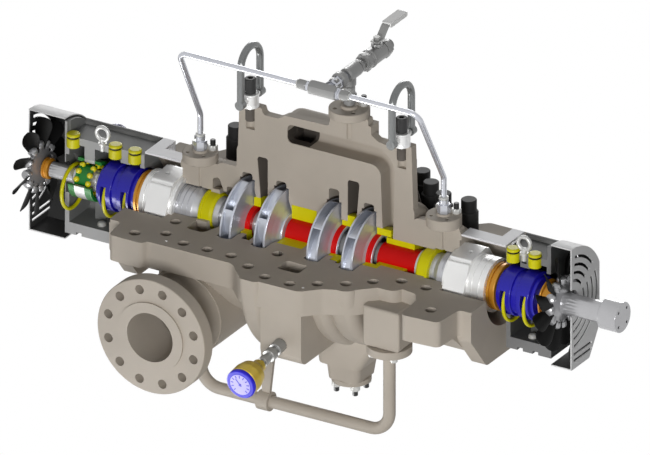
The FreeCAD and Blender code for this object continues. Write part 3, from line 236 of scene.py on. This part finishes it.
# Bearings
# Blue plain bearing shells, turned bronze rings that keep the oil in, and a
# green thrust bearing: a banded race, hard yellow balls and a sheet cage.
bearing_blue = finish_of("bearing_blue", linear(34, 28, 172), 0.24, gloss=0.3, coat=0.1,
                         spread=0.03)
CAGE_GREEN = linear(22, 122, 42)
silver_band = ([("x", -0.800, -0.766), ("r", 0.050, 0.062)], linear(180, 180, 180), 0.35, 0.5)
race_green = finish_of("race_green", CAGE_GREEN, 0.35, gloss=0.4, bands=(silver_band,))
isolator_bronze = finish_of("isolator_bronze", linear(196, 136, 34), 0.35, metal=0.3)
dress(bearing_blue, "journal_bearing_nde", "journal_bearing_de")
dress(race_green, "thrust_bearing")
dress(isolator_bronze, "bearing_isolators")


def skin(rings):
    """Closed surface over a stack of rings, an array of rows x points x 3, with capped ends."""
    rows, turns = rings.shape[:2]
    first = np.arange(rows - 1)[:, None] * turns + np.arange(turns)
    second = np.arange(rows - 1)[:, None] * turns + (np.arange(turns) + 1) % turns
    quads = np.stack([first, second, second + turns, first + turns], -1).reshape(-1, 4)
    low = list(range(turns - 1, -1, -1))
    high = [rows * turns - turns + k for k in range(turns)]
    return rings.reshape(-1, 3), quads.tolist() + [low, high]


def lathe(profile, turns=32, across=0.0):
    """Surface swept round z: each (height, radius) of the profile becomes one ring.

    With across, each ring is held inside a hexagon of that width over its flats.
    """
    profile = np.array(profile, float)
    angle = np.linspace(0.0, 2.0 * math.pi, turns, endpoint=False)
    radius = np.repeat(profile[:, 1:], turns, axis=1)
    if across:
        flat = across / 2.0 / np.cos((angle + math.pi / 6.0) % (math.pi / 3.0) - math.pi / 6.0)
        radius = np.minimum(radius, flat)
    height = np.repeat(profile[:, :1], turns, axis=1)
    return skin(np.stack([radius * np.cos(angle), radius * np.sin(angle), height], -1))


def hoop_of(profile, turns=64):
    """Ring round z: a closed profile of (height, radius) points, swept all the way round."""
    profile = np.array(profile, float)
    count = len(profile)
    angle = np.linspace(0.0, 2.0 * math.pi, turns, endpoint=False)[:, None]
    points = np.stack([profile[:, 1] * np.cos(angle), profile[:, 1] * np.sin(angle),
                       np.repeat(profile[None, :, 0], turns, axis=0)], -1)
    turn, spot = np.meshgrid(np.arange(turns), np.arange(count), indexing="ij")
    after, beyond = (turn + 1) % turns, (spot + 1) % count
    quads = np.stack([turn * count + spot, after * count + spot, after * count + beyond,
                      turn * count + beyond], -1).reshape(-1, 4)
    return points.reshape(-1, 3), quads.tolist()


def moved(surface, at, basis=None):
    """Surface put at a point, after turning its x, y and z onto the basis rows."""
    points, faces = surface
    if basis is not None:
        points = points @ np.array(basis, float)
    return points + np.array(at, float), faces


def piece(name, surfaces, material, body="casing"):
    """One object of several surfaces, smooth but for its real edges, riding on a body."""
    points = np.concatenate([surface[0] for surface in surfaces])
    faces = []
    start = 0
    for surface in surfaces:
        faces += [[start + k for k in face] for face in surface[1]]
        start += len(surface[0])
    mesh = bpy.data.meshes.new(name)
    mesh.from_pydata(points.tolist(), [], faces)
    mesh.shade_smooth()
    mesh.set_sharp_from_angle(angle=math.radians(35.0))
    mesh.materials.append(material)
    obj = bpy.data.objects.new(name, mesh)
    bpy.context.scene.collection.objects.link(obj)
    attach(obj, body)
    return obj


ALONG_X = np.array([[0.0, 1.0, 0.0], [0.0, 0.0, 1.0], [1.0, 0.0, 0.0]])


def round_shaft(surface, x, turn=0.0):
    """Surface made round z, laid along the shaft at station x and turned in degrees."""
    a = math.radians(turn)
    spin = np.array([[math.cos(a), math.sin(a), 0.0], [-math.sin(a), math.cos(a), 0.0],
                     [0.0, 0.0, 1.0]])
    return moved(surface, (x, 0.0, AXIS_Z), spin @ ALONG_X)


BALL_R = 0.009
BALL_PITCH_R = 0.0425
BALL_ROWS = (-0.803, -0.763)
BALLS = 11
ROW_TURN = 8.0
POLE_GAP = 0.03
CAGE = (0.0395, 0.0455)
CAGE_BAR = 0.0042
CAGE_SHEET = 0.0015
half_turn = np.linspace(POLE_GAP, math.pi - POLE_GAP, 13)
ball = lathe(np.column_stack([-BALL_R * np.cos(half_turn), BALL_R * np.sin(half_turn)]), 20)
balls = []
for k, x in enumerate(BALL_ROWS):
    for i in range(BALLS):
        turn = math.radians(360.0 / BALLS * i + ROW_TURN * k)
        balls.append(moved(ball, (x, BALL_PITCH_R * math.cos(turn),
                                  AXIS_Z + BALL_PITCH_R * math.sin(turn))))
ball_yellow = finish_of("ball_yellow", linear(228, 214, 12), 0.25, gloss=0.5)
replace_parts(piece("bearing_balls", balls, ball_yellow), "thrust_balls")
side_bar = hoop_of([(-CAGE_BAR, CAGE[0]), (CAGE_BAR, CAGE[0]),
                    (CAGE_BAR, CAGE[1]), (-CAGE_BAR, CAGE[1])])
row_gap = BALL_ROWS[1] - BALL_ROWS[0]
middle = hoop_of([(0.0, CAGE[0]), (row_gap, CAGE[0]),
                  (row_gap, CAGE[0] + CAGE_SHEET), (0.0, CAGE[0] + CAGE_SHEET)])
cage = [round_shaft(side_bar, x) for x in BALL_ROWS] + [round_shaft(middle, BALL_ROWS[0])]
piece("ball_cage", cage, finish_of("cage_green", CAGE_GREEN, 0.35, gloss=0.4))


# Housings
# Grey painted castings sawn in half along the shaft: the section face, which
# faces the lamps, is painted pale as painted light, the rest darker as painted
# shade and the drive-end housing darker still; a half-round bar along the top is darker.
top_bar = ([("y", 0.092, 0.1205), ("z", 0.2055, 0.2200)], linear(120, 120, 119), 0.5, 0.0)
# Painted light and shade: each housing's section face is painted pale and its body dark, the
# drive-end pair darker.
for name, tone, cut in (("housing_nde", 120, 172), ("housing_de", 84, 124)):
    lit_section_face = ([("y", -0.001, 0.0006)], linear(cut, cut, cut), 0.5, 0.0)
    dress(finish_of(name + "_grey", linear(tone, tone + 1, tone), 0.5, gloss=0.12, grain=0.2,
                    grain_scale=120.0, bands=(lit_section_face, top_bar)), name)
cap_groove = ([("z", 0.2035, 0.2085), ("r", 0.0, 0.125)], linear(20, 20, 6), 0.6, 0.0)
dress(finish_of("cap_yellow", SAMPLE_YELLOW, 0.4, gloss=0.3, bands=(cap_groove,)),
      "breather_caps")


# Fans and their covers
# Each fan is a cast hub whose rim carries bolted knobs, left bright, and black
# sheet leaves; a bronze collar sits behind one. Covers are bent, slotted sheet,
# painted dark inside as painted shade.
FAN_X = (-0.951, 0.786)
FAN_TIP = 0.146
LEAF_ROOT = 0.050
LEAF_HALF = 0.027
LEAF_BEND = 0.045
LEAF_THICK = 0.0016
LEAF_PITCH = 52.0
LEAF_TURN = 8.0
KNOBS = 12
KNOB_OUTLINE = ((0.040, 0.007), (0.054, 0.009), (0.058, 0.009), (0.061, 0.0135),
                (0.069, 0.0155), (0.076, 0.0135), (0.080, 0.006))
HUB_BORE = 0.020
HUB_RIM = 0.060
COLLAR_X = -0.930
COLLAR_OUTLINE = ((0.0, 0.018), (0.0, 0.028), (0.003, 0.031), (0.0075, 0.031),
                  (0.0085, 0.0285), (0.0105, 0.0285), (0.0115, 0.031), (0.0175, 0.031),
                  (0.0205, 0.028), (0.0205, 0.018))


def leaf(pitch, turn):
    """Fan leaf: a thin oval section swept out from the hub, round z, at a pitch.

    Its half width grows from the root, is full at two thirds and closes round the tip; the
    section is bent to an arc across the leaf.
    """
    out = np.linspace(0.0, 1.0, 25)[:, None]
    half = LEAF_HALF * np.minimum(0.45 + 0.85 * out, 1.0) * np.sqrt(
        np.clip(1.0 - (np.clip(out - 0.72, 0.0, 1.0) / 0.2805) ** 2, 0.004, 1.0))
    angle = np.linspace(0.0, 2.0 * math.pi, 28, endpoint=False)[None, :]
    across = half * np.cos(angle)
    depth = LEAF_THICK * np.sin(angle) + across ** 2 / (2.0 * LEAF_BEND)
    p = math.radians(pitch)
    along = across * math.cos(p) - depth * math.sin(p)
    aside = across * math.sin(p) + depth * math.cos(p)
    radius = np.broadcast_to(LEAF_ROOT + (FAN_TIP - LEAF_ROOT) * out, along.shape)
    t = math.radians(turn)
    return skin(np.stack([radius * math.cos(t) - aside * math.sin(t),
                          radius * math.sin(t) + aside * math.cos(t), along], -1))


def knob(turn):
    """Turned knob that stands out of the hub's rim, waisted below its round head."""
    t = math.radians(turn)
    basis = [[-math.sin(t), math.cos(t), 0.0], [0.0, 0.0, 1.0], [math.cos(t), math.sin(t), 0.0]]
    return moved(lathe(KNOB_OUTLINE, 18), (0, 0, 0), basis)


def hub_disc():
    """Cast disc with a boss at the shaft and a soft rim."""
    return lathe([(-0.013, HUB_BORE), (-0.013, HUB_RIM * 0.72), (-0.005, HUB_RIM),
                  (0.006, HUB_RIM), (0.012, HUB_RIM * 0.62), (0.014, HUB_BORE)], 48)


fan_silver = finish_of("fan_silver", linear(168, 168, 170), 0.25, metal=0.45)
fan_black = finish_of("fan_black", linear(12, 12, 12), 0.5, gloss=0.12)
fan_bronze = finish_of("fan_bronze", linear(204, 138, 32), 0.35, metal=0.3)
FANS = (("fan_nde", FAN_X[0], -LEAF_PITCH, 10), ("fan_de", FAN_X[1], LEAF_PITCH, 12))
for name, x, pitch, leaves in FANS:
    hub = [hub_disc()] + [knob(360.0 / KNOBS * k) for k in range(KNOBS)]
    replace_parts(piece(name + "_hub", [round_shaft(part, x) for part in hub], fan_silver,
                      "rotor"), name)
    blades = [round_shaft(leaf(pitch, 360.0 / leaves * k + LEAF_TURN), x)
              for k in range(leaves)]
    piece(name + "_leaves", blades, fan_black, "rotor")
piece("fan_collar", [round_shaft(lathe(COLLAR_OUTLINE, 40), COLLAR_X)], fan_bronze,
      "rotor")
COVER_GREY = linear(220, 220, 220)
# Painted shade: the covers' insides, which face away from the lamps, are painted dark.
INSIDE_SHADE = linear(58, 58, 58)
INSIDE_X = ((-0.9815, -0.8), (0.7, 0.8145))
INSIDE_BACK = 0.1534
INSIDE_R = 0.1684
INSIDE_FLOOR = -0.1234
cover_inside_shade = []
for low, high in INSIDE_X:
    span = [("x", low, high), ("y", -0.01, INSIDE_BACK)]
    cover_inside_shade.append(((span + [("z", AXIS_Z, 0.3), ("r", 0.0, INSIDE_R)], INSIDE_SHADE, 0.6, 0.0),
                       (span + [("z", INSIDE_FLOOR, AXIS_Z)], INSIDE_SHADE, 0.6, 0.0)))
dress(finish_of("cover_nde", COVER_GREY, 0.45, gloss=0.2, bands=cover_inside_shade[0]), "fan_cover_nde")
dress(finish_of("cover_de", COVER_GREY, 0.45, gloss=0.2, bands=cover_inside_shade[1]), "fan_cover_de")
dress(finish_of("guard_white", linear(225, 225, 228), 0.45), "guard_plates")


# Piping and valve
# Bright drawn tube pushed into screwed fittings; the ball valve is a turned
# body between hexagon ends, on a post screwed into the vent flange.
def hex_nut(across, height):
    """Hexagon nut standing on z = 0, its corners chamfered at both ends."""
    corner = across / math.sqrt(3.0)
    cut = height * 0.12
    return lathe([(0.0, corner * 0.88), (cut, corner), (height - cut, corner),
                  (height, corner * 0.88)], 48, across)


def rod(radius, low, high):
    """Round bar along z with a small chamfer at each end."""
    soft = min(radius, high - low) * 0.2
    return lathe([(low, radius - soft), (low + soft, radius), (high - soft, radius),
                  (high, radius - soft)], 24)


ALONG_Y = np.array([[0.0, 0.0, 1.0], [1.0, 0.0, 0.0], [0.0, 1.0, 0.0]])
VENT_X = 0.080
TUBE_Y = -0.131
TUBE_Z = 0.635
STEM_Y = 0.155
VALVE_FOOT = 0.537
tube_steel = finish_of("tube_steel", linear(205, 207, 214), 0.22, metal=0.6)
valve_steel = finish_of("valve_steel", linear(158, 158, 157), 0.32, metal=0.25, gloss=0.3)
bore_shade = finish_of("bore_shade", linear(40, 40, 40), 0.5)
dress(tube_steel, "flush_tube")
valve = [moved(part, (VENT_X, start, TUBE_Z), ALONG_Y) for part, start in (
    (rod(0.022, 0.0, 0.066), -0.022),   # tee
    (rod(0.015, 0.0, 0.042), 0.040),    # nipple
    (hex_nut(0.036, 0.014), 0.046),     # lock nut
    (hex_nut(0.050, 0.022), 0.076),     # near hexagon end
    (rod(0.026, 0.0, 0.086), 0.096),    # ball body
    (rod(0.028, 0.0, 0.008), 0.106),    # seam of the body
    (hex_nut(0.051, 0.024), 0.180),     # far hexagon end
    (rod(0.0165, 0.0, 0.023), 0.203))]  # outlet
valve += [moved(part, (VENT_X, 0.0, low)) for part, low in (
    (rod(0.017, 0.0, 0.06), VALVE_FOOT), (hex_nut(0.037, 0.022), VALVE_FOOT + 0.016),
    (rod(0.020, 0.0, 0.038), TUBE_Z - 0.038))]
valve += [moved(rod(0.0105, 0.0, 0.038), (VENT_X, STEM_Y, TUBE_Z)),
          moved(hex_nut(0.030, 0.012), (VENT_X, STEM_Y, TUBE_Z + 0.020))]
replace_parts(piece("ball_valve", valve, valve_steel), "vent_valve")
# Painted shade: a thin dark disc at the outlet's mouth stands for the shade inside its open
# bore.
piece("valve_bore_shade", [moved(rod(0.010, 0.0, 0.0012), (VENT_X, 0.2253, TUBE_Z), ALONG_Y)],
      bore_shade)
fittings = [moved(hex_nut(across, length), (start, TUBE_Y, TUBE_Z), ALONG_X)
            for across, length, start in ((0.041, 0.088, 0.030), (0.029, 0.028, -0.010),
                                          (0.029, 0.028, 0.130))]
fittings.append(moved(rod(0.025, 0.0, 0.026), (VENT_X, -0.064, TUBE_Z), ALONG_Y))
fittings.append(moved(hex_nut(0.036, 0.018), (VENT_X, -0.094, TUBE_Z), ALONG_Y))
piece("tube_fittings", fittings, valve_steel)
lever_grip = ([("y", 0.206, 0.310)], linear(250, 250, 248), 0.5, 0.0)
lever_steel = finish_of("lever_steel", linear(150, 150, 148), 0.35, metal=0.4,
                        bands=(lever_grip,))
dress(lever_steel, "valve_lever")


# Lifting gear and split nuts
# Forged hoist rings on alloy bolts, screwed eye bolts, and charcoal cap nuts on
# the studs that hold the two casing halves together.
ring_steel = finish_of("ring_steel", linear(132, 134, 134), 0.25, metal=0.35)
nut_black = finish_of("nut_black", linear(46, 46, 46), 0.5, gloss=0.1)
HOIST_SEAT = 0.451
bolt_shank = ([("z", 0.3, HOIST_SEAT)], linear(112, 106, 100), 0.45, 0.2)
bolt_black = finish_of("bolt_black", linear(60, 60, 60), 0.45, gloss=0.2, bands=(bolt_shank,))
dress(ring_steel, "hoist_bail_nde", "hoist_bail_de")
dress(finish_of("eye_steel", linear(205, 205, 203), 0.35, metal=0.3), "eye_bolts")
dress(bolt_black, "hoist_bolt_nde", "hoist_bolt_de")
dress(nut_black, "cap_nuts")
HOIST_X = (-0.249, 0.254)
THREAD_LOW = 0.406
THREAD_PITCH = 0.0036
THREADS = 12
THREAD_ROOT = 0.0131
THREAD_CREST = 0.0146
step = np.arange(2 * THREADS + 1)
thread = np.column_stack([THREAD_LOW + THREAD_PITCH / 2.0 * step,
                          np.where(step % 2, THREAD_CREST, THREAD_ROOT)])
threads = [moved(lathe(thread), (x, 0.0, 0.0)) for x in HOIST_X]
piece("hoist_threads", threads, bolt_black)


# Thermometer and oiler
# Screwed fittings in silver, a brass cup bell and a blue bezel with a pale
# face; the constant-level oiler is a clear bulb under a wire guard.
BOX_FRONT = -0.318
brass_bell = ([("y", -1.0, BOX_FRONT - 0.108)], linear(206, 178, 62), 0.35, 0.3)
stem_steel = finish_of("stem_steel", linear(160, 160, 158), 0.35, metal=0.4, bands=(brass_bell,))
dress(stem_steel, "thermometer_stem")
dress(finish_of("dial_blue", linear(36, 26, 214), 0.35, gloss=0.3), "thermometer_dial")
dress(finish_of("oiler_glass", linear(190, 196, 215), 0.12, coat=0.5), "oiler")


# Studs and nuts
# Black studs screwed into the castings clamp each small flange; their nuts are
# bright zinc-plated hexagons with chamfered corners.
def circle_of(centre, radius, turns):
    """Points (x, y) on a circle at the given angles in degrees."""
    return [(centre[0] + radius * math.cos(math.radians(t)),
             centre[1] + radius * math.sin(math.radians(t))) for t in turns]


UPWARD = np.eye(3)
DOWNWARD = np.diag([1.0, -1.0, -1.0])
NUT_ACROSS = 0.025
NUT_HEIGHT = 0.015
STUD_R = 0.0080
STUD_OUT = 0.032
SMALL_ACROSS = 0.019
SMALL_HEIGHT = 0.011
zinc = finish_of("zinc", linear(205, 205, 202), 0.35, metal=0.3)
stud_black = finish_of("stud_black", linear(20, 20, 20), 0.4)
VENT = (VENT_X, 0.0)
VENT_FACE = 0.529
VENT_CIRCLE = 0.043
FLUSH = ((-0.415, 0.0), (0.394, 0.0))
FLUSH_FACE = 0.266
FLUSH_CIRCLE = 0.037
BACK_PAIR = (45.0, 135.0)
ALL_FOUR = (45.0, 135.0, 225.0, 315.0)
drain_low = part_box("drain_flange")[0]
DRAIN = (0.087, 0.0)
DRAIN_CIRCLE = 0.044
LINE_FLANGE = (0.326, -0.190)
LINE_FLANGE_LOW = -0.106
LINE_CIRCLE = 0.051
spots = [(x, y, VENT_FACE, UPWARD) for x, y in circle_of(VENT, VENT_CIRCLE, BACK_PAIR)]
for port in FLUSH:
    spots += [(x, y, FLUSH_FACE, UPWARD) for x, y in circle_of(port, FLUSH_CIRCLE, BACK_PAIR)]
spots += [(x, y, drain_low[2], DOWNWARD) for x, y in circle_of(DRAIN, DRAIN_CIRCLE, ALL_FOUR)]
nuts = [moved(hex_nut(NUT_ACROSS, NUT_HEIGHT), spot[:3], spot[3]) for spot in spots]
studs = [moved(rod(STUD_R, 0.0, STUD_OUT), spot[:3], spot[3]) for spot in spots]
nuts += [moved(hex_nut(SMALL_ACROSS, SMALL_HEIGHT), (x, y, LINE_FLANGE_LOW), DOWNWARD)
         for x, y in circle_of(LINE_FLANGE, LINE_CIRCLE, ALL_FOUR)]
piece("flange_nuts", nuts, zinc)
piece("flange_studs", studs, stud_black)


# Dial face
# A pale enamelled disc with dark blue scale marks and a needle, under the
# bezel's rim; plain marks only.
DIAL_TILT = math.radians(98.5)
DIAL_AT = np.array([0.041, BOX_FRONT, -0.102])
DIAL_FACE = 0.2302
dial_basis = [[1.0, 0.0, 0.0],
              [0.0, math.cos(DIAL_TILT), math.sin(DIAL_TILT)],
              [0.0, -math.sin(DIAL_TILT), math.cos(DIAL_TILT)]]


def slab(half_x, half_y, low, high, reach=0.0, turn=0.0):
    """Flat bar between two heights, pushed out along y and turned about z in degrees."""
    corners = np.array([[-half_x, reach - half_y], [half_x, reach - half_y],
                        [half_x, reach + half_y], [-half_x, reach + half_y]])
    a = math.radians(turn)
    corners = corners @ np.array([[math.cos(a), math.sin(a)], [-math.sin(a), math.cos(a)]])
    points = np.concatenate([np.column_stack([corners, np.full(4, z)]) for z in (low, high)])
    faces = [[3, 2, 1, 0], [4, 5, 6, 7]] + [[k, (k + 1) % 4, (k + 1) % 4 + 4, k + 4]
                                            for k in range(4)]
    return points, faces


FACE_R = 0.033
TICKS = 11
SWEEP = 270.0
TICK_HALF = (0.0016, 0.0042)
TICK_INSET = 0.0065
NEEDLE_HALF = (0.0012, 0.014)
NEEDLE_OUT = 0.008
NEEDLE_TURN = 38.0
BOSS_R = 0.004
face = lathe([(DIAL_FACE, FACE_R), (DIAL_FACE + 0.0006, FACE_R)], 48)
piece("dial_face", [moved(face, DIAL_AT, dial_basis)],
      finish_of("dial_enamel", linear(178, 172, 246), 0.35))
marks = [slab(*TICK_HALF, DIAL_FACE + 0.0004, DIAL_FACE + 0.0012, FACE_R - TICK_INSET,
              SWEEP * (k / (TICKS - 1) - 0.5)) for k in range(TICKS)]
marks.append(slab(*NEEDLE_HALF, DIAL_FACE + 0.0006, DIAL_FACE + 0.0016, NEEDLE_OUT,
                  NEEDLE_TURN))
marks.append(lathe([(DIAL_FACE, BOSS_R), (DIAL_FACE + 0.0022, BOSS_R)], 20))
piece("dial_marks", [moved(mark, DIAL_AT, dial_basis) for mark in marks],
      finish_of("mark_blue", linear(34, 24, 205), 0.4))


# Wire guard
# Bent spring wire over the oiler's bulb: hoops across the top, three level rings
# and one round the foot, brazed where they cross.
OILER = np.array([-0.800, 0.178])
GUARD_R = 0.0385
GUARD_BASE = 0.098
GUARD_SHOULDER = 0.138
WIRE_R = 0.0011
HOOPS = 7
RING_LIFTS = (0.0, 24.0, 52.0)


def wire(path, radius, aside, sides=6):
    """Round wire along a path of points: each point becomes a ring across the path.

    aside is a direction that is never along the path; it fixes how the rings are turned.
    """
    way = np.gradient(path, axis=0)
    way /= np.linalg.norm(way, axis=1, keepdims=True)
    across = np.cross(way, aside)
    across /= np.linalg.norm(across, axis=1, keepdims=True)
    over = np.cross(across, way)
    angle = np.linspace(0.0, 2.0 * math.pi, sides, endpoint=False)[None, :, None]
    return skin(path[:, None] + radius * (np.cos(angle) * across[:, None]
                                          + np.sin(angle) * over[:, None]))


def hoop(turn):
    """Path up one side of the guard, over the bulb in a half circle and down again."""
    t = np.linspace(0.0, math.pi, 25)
    along = np.concatenate([[GUARD_R], GUARD_R * np.cos(t), [-GUARD_R]])
    up = np.concatenate([[GUARD_BASE], GUARD_SHOULDER + GUARD_R * np.sin(t), [GUARD_BASE]])
    return np.column_stack([OILER[0] + along * math.cos(turn), OILER[1] + along * math.sin(turn),
                            up])


def level_ring(radius, height):
    """Path of a level ring of the guard."""
    t = np.linspace(0.0, 2.0 * math.pi, 49)
    return np.column_stack([OILER[0] + radius * np.cos(t), OILER[1] + radius * np.sin(t),
                            np.full(len(t), height)])


wires = []
for k in range(HOOPS):
    turn = math.pi * k / HOOPS
    wires.append(wire(hoop(turn), WIRE_R, [-math.sin(turn), math.cos(turn), 0.0]))
for lift in RING_LIFTS:
    a = math.radians(lift)
    wires.append(wire(level_ring(GUARD_R * math.cos(a), GUARD_SHOULDER + GUARD_R * math.sin(a)),
                      WIRE_R, [0.0, 0.0, 1.0]))
wires.append(wire(level_ring(GUARD_R, GUARD_BASE + 0.002), WIRE_R, [0.0, 0.0, 1.0]))
piece("oiler_guard", wires, finish_of("guard_wire", linear(150, 150, 168), 0.3, metal=0.5))


# Small fittings
# Zinc-plated ferrules where the tube enters its fittings, collars on its ports,
# drain plugs in the housing floors and ground dowel pins in the split face.
FERRULES = (-0.012, 0.158)
PORT_COLLAR_LIFT = 0.048
PLUGS = ((-0.760, 0.030), (0.672, 0.030))
PLUG_FLOOR = -0.069
PINS = ((-0.386, -0.238), (0.104, -0.299))
ferrule = lathe([(-0.004, 0.0105), (-0.003, 0.0125), (0.003, 0.0125), (0.004, 0.0105)], 24)
bright = [moved(ferrule, (x, TUBE_Y, TUBE_Z), ALONG_X) for x in FERRULES]
port_collar = lathe([(0.0, 0.0125), (0.002, 0.014), (0.007, 0.014), (0.009, 0.010)], 24)
bright += [moved(port_collar, (x, y, FLUSH_FACE + PORT_COLLAR_LIFT)) for x, y in FLUSH]
plug = lathe([(0.0, 0.013), (0.006, 0.013), (0.010, 0.010), (0.012, 0.005)], 24)
bright += [moved(plug, (x, y, PLUG_FLOOR)) for x, y in PLUGS]
piece("bright_fittings", bright, zinc)
pin = lathe([(-0.004, 0.004), (0.0008, 0.004), (0.0016, 0.003)], 20)
piece("dowel_pins", [moved(pin, (x, y, AXIS_Z)) for x, y in PINS], zinc)


# Studio
# Parallel view, as in a parts drawing: a large soft lamp low on the viewer's
# side, a weaker one behind, a small one below for sheen, and a white room.
VIEW_AZIMUTH = math.radians(30.7)
VIEW_ELEVATION = math.radians(26.0)
VIEW_DISTANCE = 6.0
VIEW_WIDTH = 1.857
AIM = np.array([-0.001, 0.0, AXIS_Z + 0.040])
toward = np.array([
    math.sin(VIEW_AZIMUTH) * math.cos(VIEW_ELEVATION),
    -math.cos(VIEW_AZIMUTH) * math.cos(VIEW_ELEVATION),
    math.sin(VIEW_ELEVATION),
])
camera = bpy.data.objects.new("camera", bpy.data.cameras.new("camera"))
bpy.context.scene.collection.objects.link(camera)
camera.data.type = "ORTHO"
camera.data.ortho_scale = VIEW_WIDTH
camera.data.clip_end = 60.0
camera.location = AIM + toward * VIEW_DISTANCE
camera.rotation_euler = (math.pi / 2 - VIEW_ELEVATION, 0.0, VIEW_AZIMUTH)
bpy.context.scene.camera = camera


def soft_lamp(name, azimuth, elevation, distance, size, power, matt=True):
    """Square lamp that faces the pump from a compass direction and a height."""
    data = bpy.data.lights.new(name, "AREA")
    data.size = size
    data.energy = power
    lamp = bpy.data.objects.new(name, data)
    bpy.context.scene.collection.objects.link(lamp)
    a, e = math.radians(azimuth), math.radians(elevation)
    way = np.array([math.sin(a) * math.cos(e), -math.cos(a) * math.cos(e), math.sin(e)])
    lamp.location = AIM + way * distance
    lamp.visible_camera = False
    lamp.visible_diffuse = matt
    lamp.rotation_euler = (math.pi / 2 - e, 0.0, a)


soft_lamp("key_lamp", 20.0, 10.0, 6.0, 2.0, 215.0)
soft_lamp("back_lamp", 205.0, 14.0, 6.0, 3.0, 160.0)
soft_lamp("sheen_lamp", -44.0, -42.0, 1.35, 0.9, 30.0, matt=False)


def white_to_camera(tree, plain, seen):
    """Mix two shaders so that the camera and mirror-like rays get the second."""
    path = tree.nodes.new("ShaderNodeLightPath")
    first = tree.nodes.new("ShaderNodeMath")
    second = tree.nodes.new("ShaderNodeMath")
    first.operation = second.operation = "ADD"
    second.use_clamp = True
    mix = tree.nodes.new("ShaderNodeMixShader")
    tree.links.new(path.outputs["Is Camera Ray"], first.inputs[0])
    tree.links.new(path.outputs["Is Glossy Ray"], first.inputs[1])
    tree.links.new(first.outputs[0], second.inputs[0])
    tree.links.new(path.outputs["Is Transmission Ray"], second.inputs[1])
    tree.links.new(second.outputs[0], mix.inputs[0])
    tree.links.new(plain.outputs[0], mix.inputs[1])
    tree.links.new(seen.outputs[0], mix.inputs[2])
    return mix


world = bpy.data.worlds.new("studio_world")
bpy.context.scene.world = world
world.use_nodes = True
room = world.node_tree
room.nodes.clear()
ambient = room.nodes.new("ShaderNodeBackground")
ambient.inputs["Color"].default_value = (1.0, 1.0, 1.0, 1.0)
ambient.inputs["Strength"].default_value = 0.115
seen_white = room.nodes.new("ShaderNodeBackground")
seen_white.inputs["Color"].default_value = (1.0, 1.0, 1.0, 1.0)
seen_white.inputs["Strength"].default_value = 1.0
room_out = room.nodes.new("ShaderNodeOutputWorld")
room.links.new(white_to_camera(room, ambient, seen_white).outputs[0], room_out.inputs[0])

FLOOR_Z = -1.0
FLOOR_HALF = 14.0
floor_mesh = bpy.data.meshes.new("floor")
floor_corners = np.array([[-1, -1], [1, -1], [1, 1], [-1, 1]]) * FLOOR_HALF
floor_points = np.column_stack([floor_corners, np.full(4, FLOOR_Z)])
floor_mesh.from_pydata(floor_points.tolist(), [], [[0, 1, 2, 3]])
floor = bpy.data.objects.new("floor", floor_mesh)
bpy.context.scene.collection.objects.link(floor)
floor_paint = bpy.data.materials.new("floor_white")
floor_paint.use_nodes = True
floor_tree = floor_paint.node_tree
floor_tree.nodes.clear()
floor_matt = floor_tree.nodes.new("ShaderNodeBsdfDiffuse")
floor_matt.inputs["Color"].default_value = (0.9, 0.9, 0.9, 1.0)
floor_glow = floor_tree.nodes.new("ShaderNodeEmission")
floor_out = floor_tree.nodes.new("ShaderNodeOutputMaterial")
floor_mix = white_to_camera(floor_tree, floor_matt, floor_glow)
floor_tree.links.new(floor_mix.outputs[0], floor_out.inputs[0])
floor_mesh.materials.append(floor_paint)

bpy.context.scene.view_settings.view_transform = "Standard"
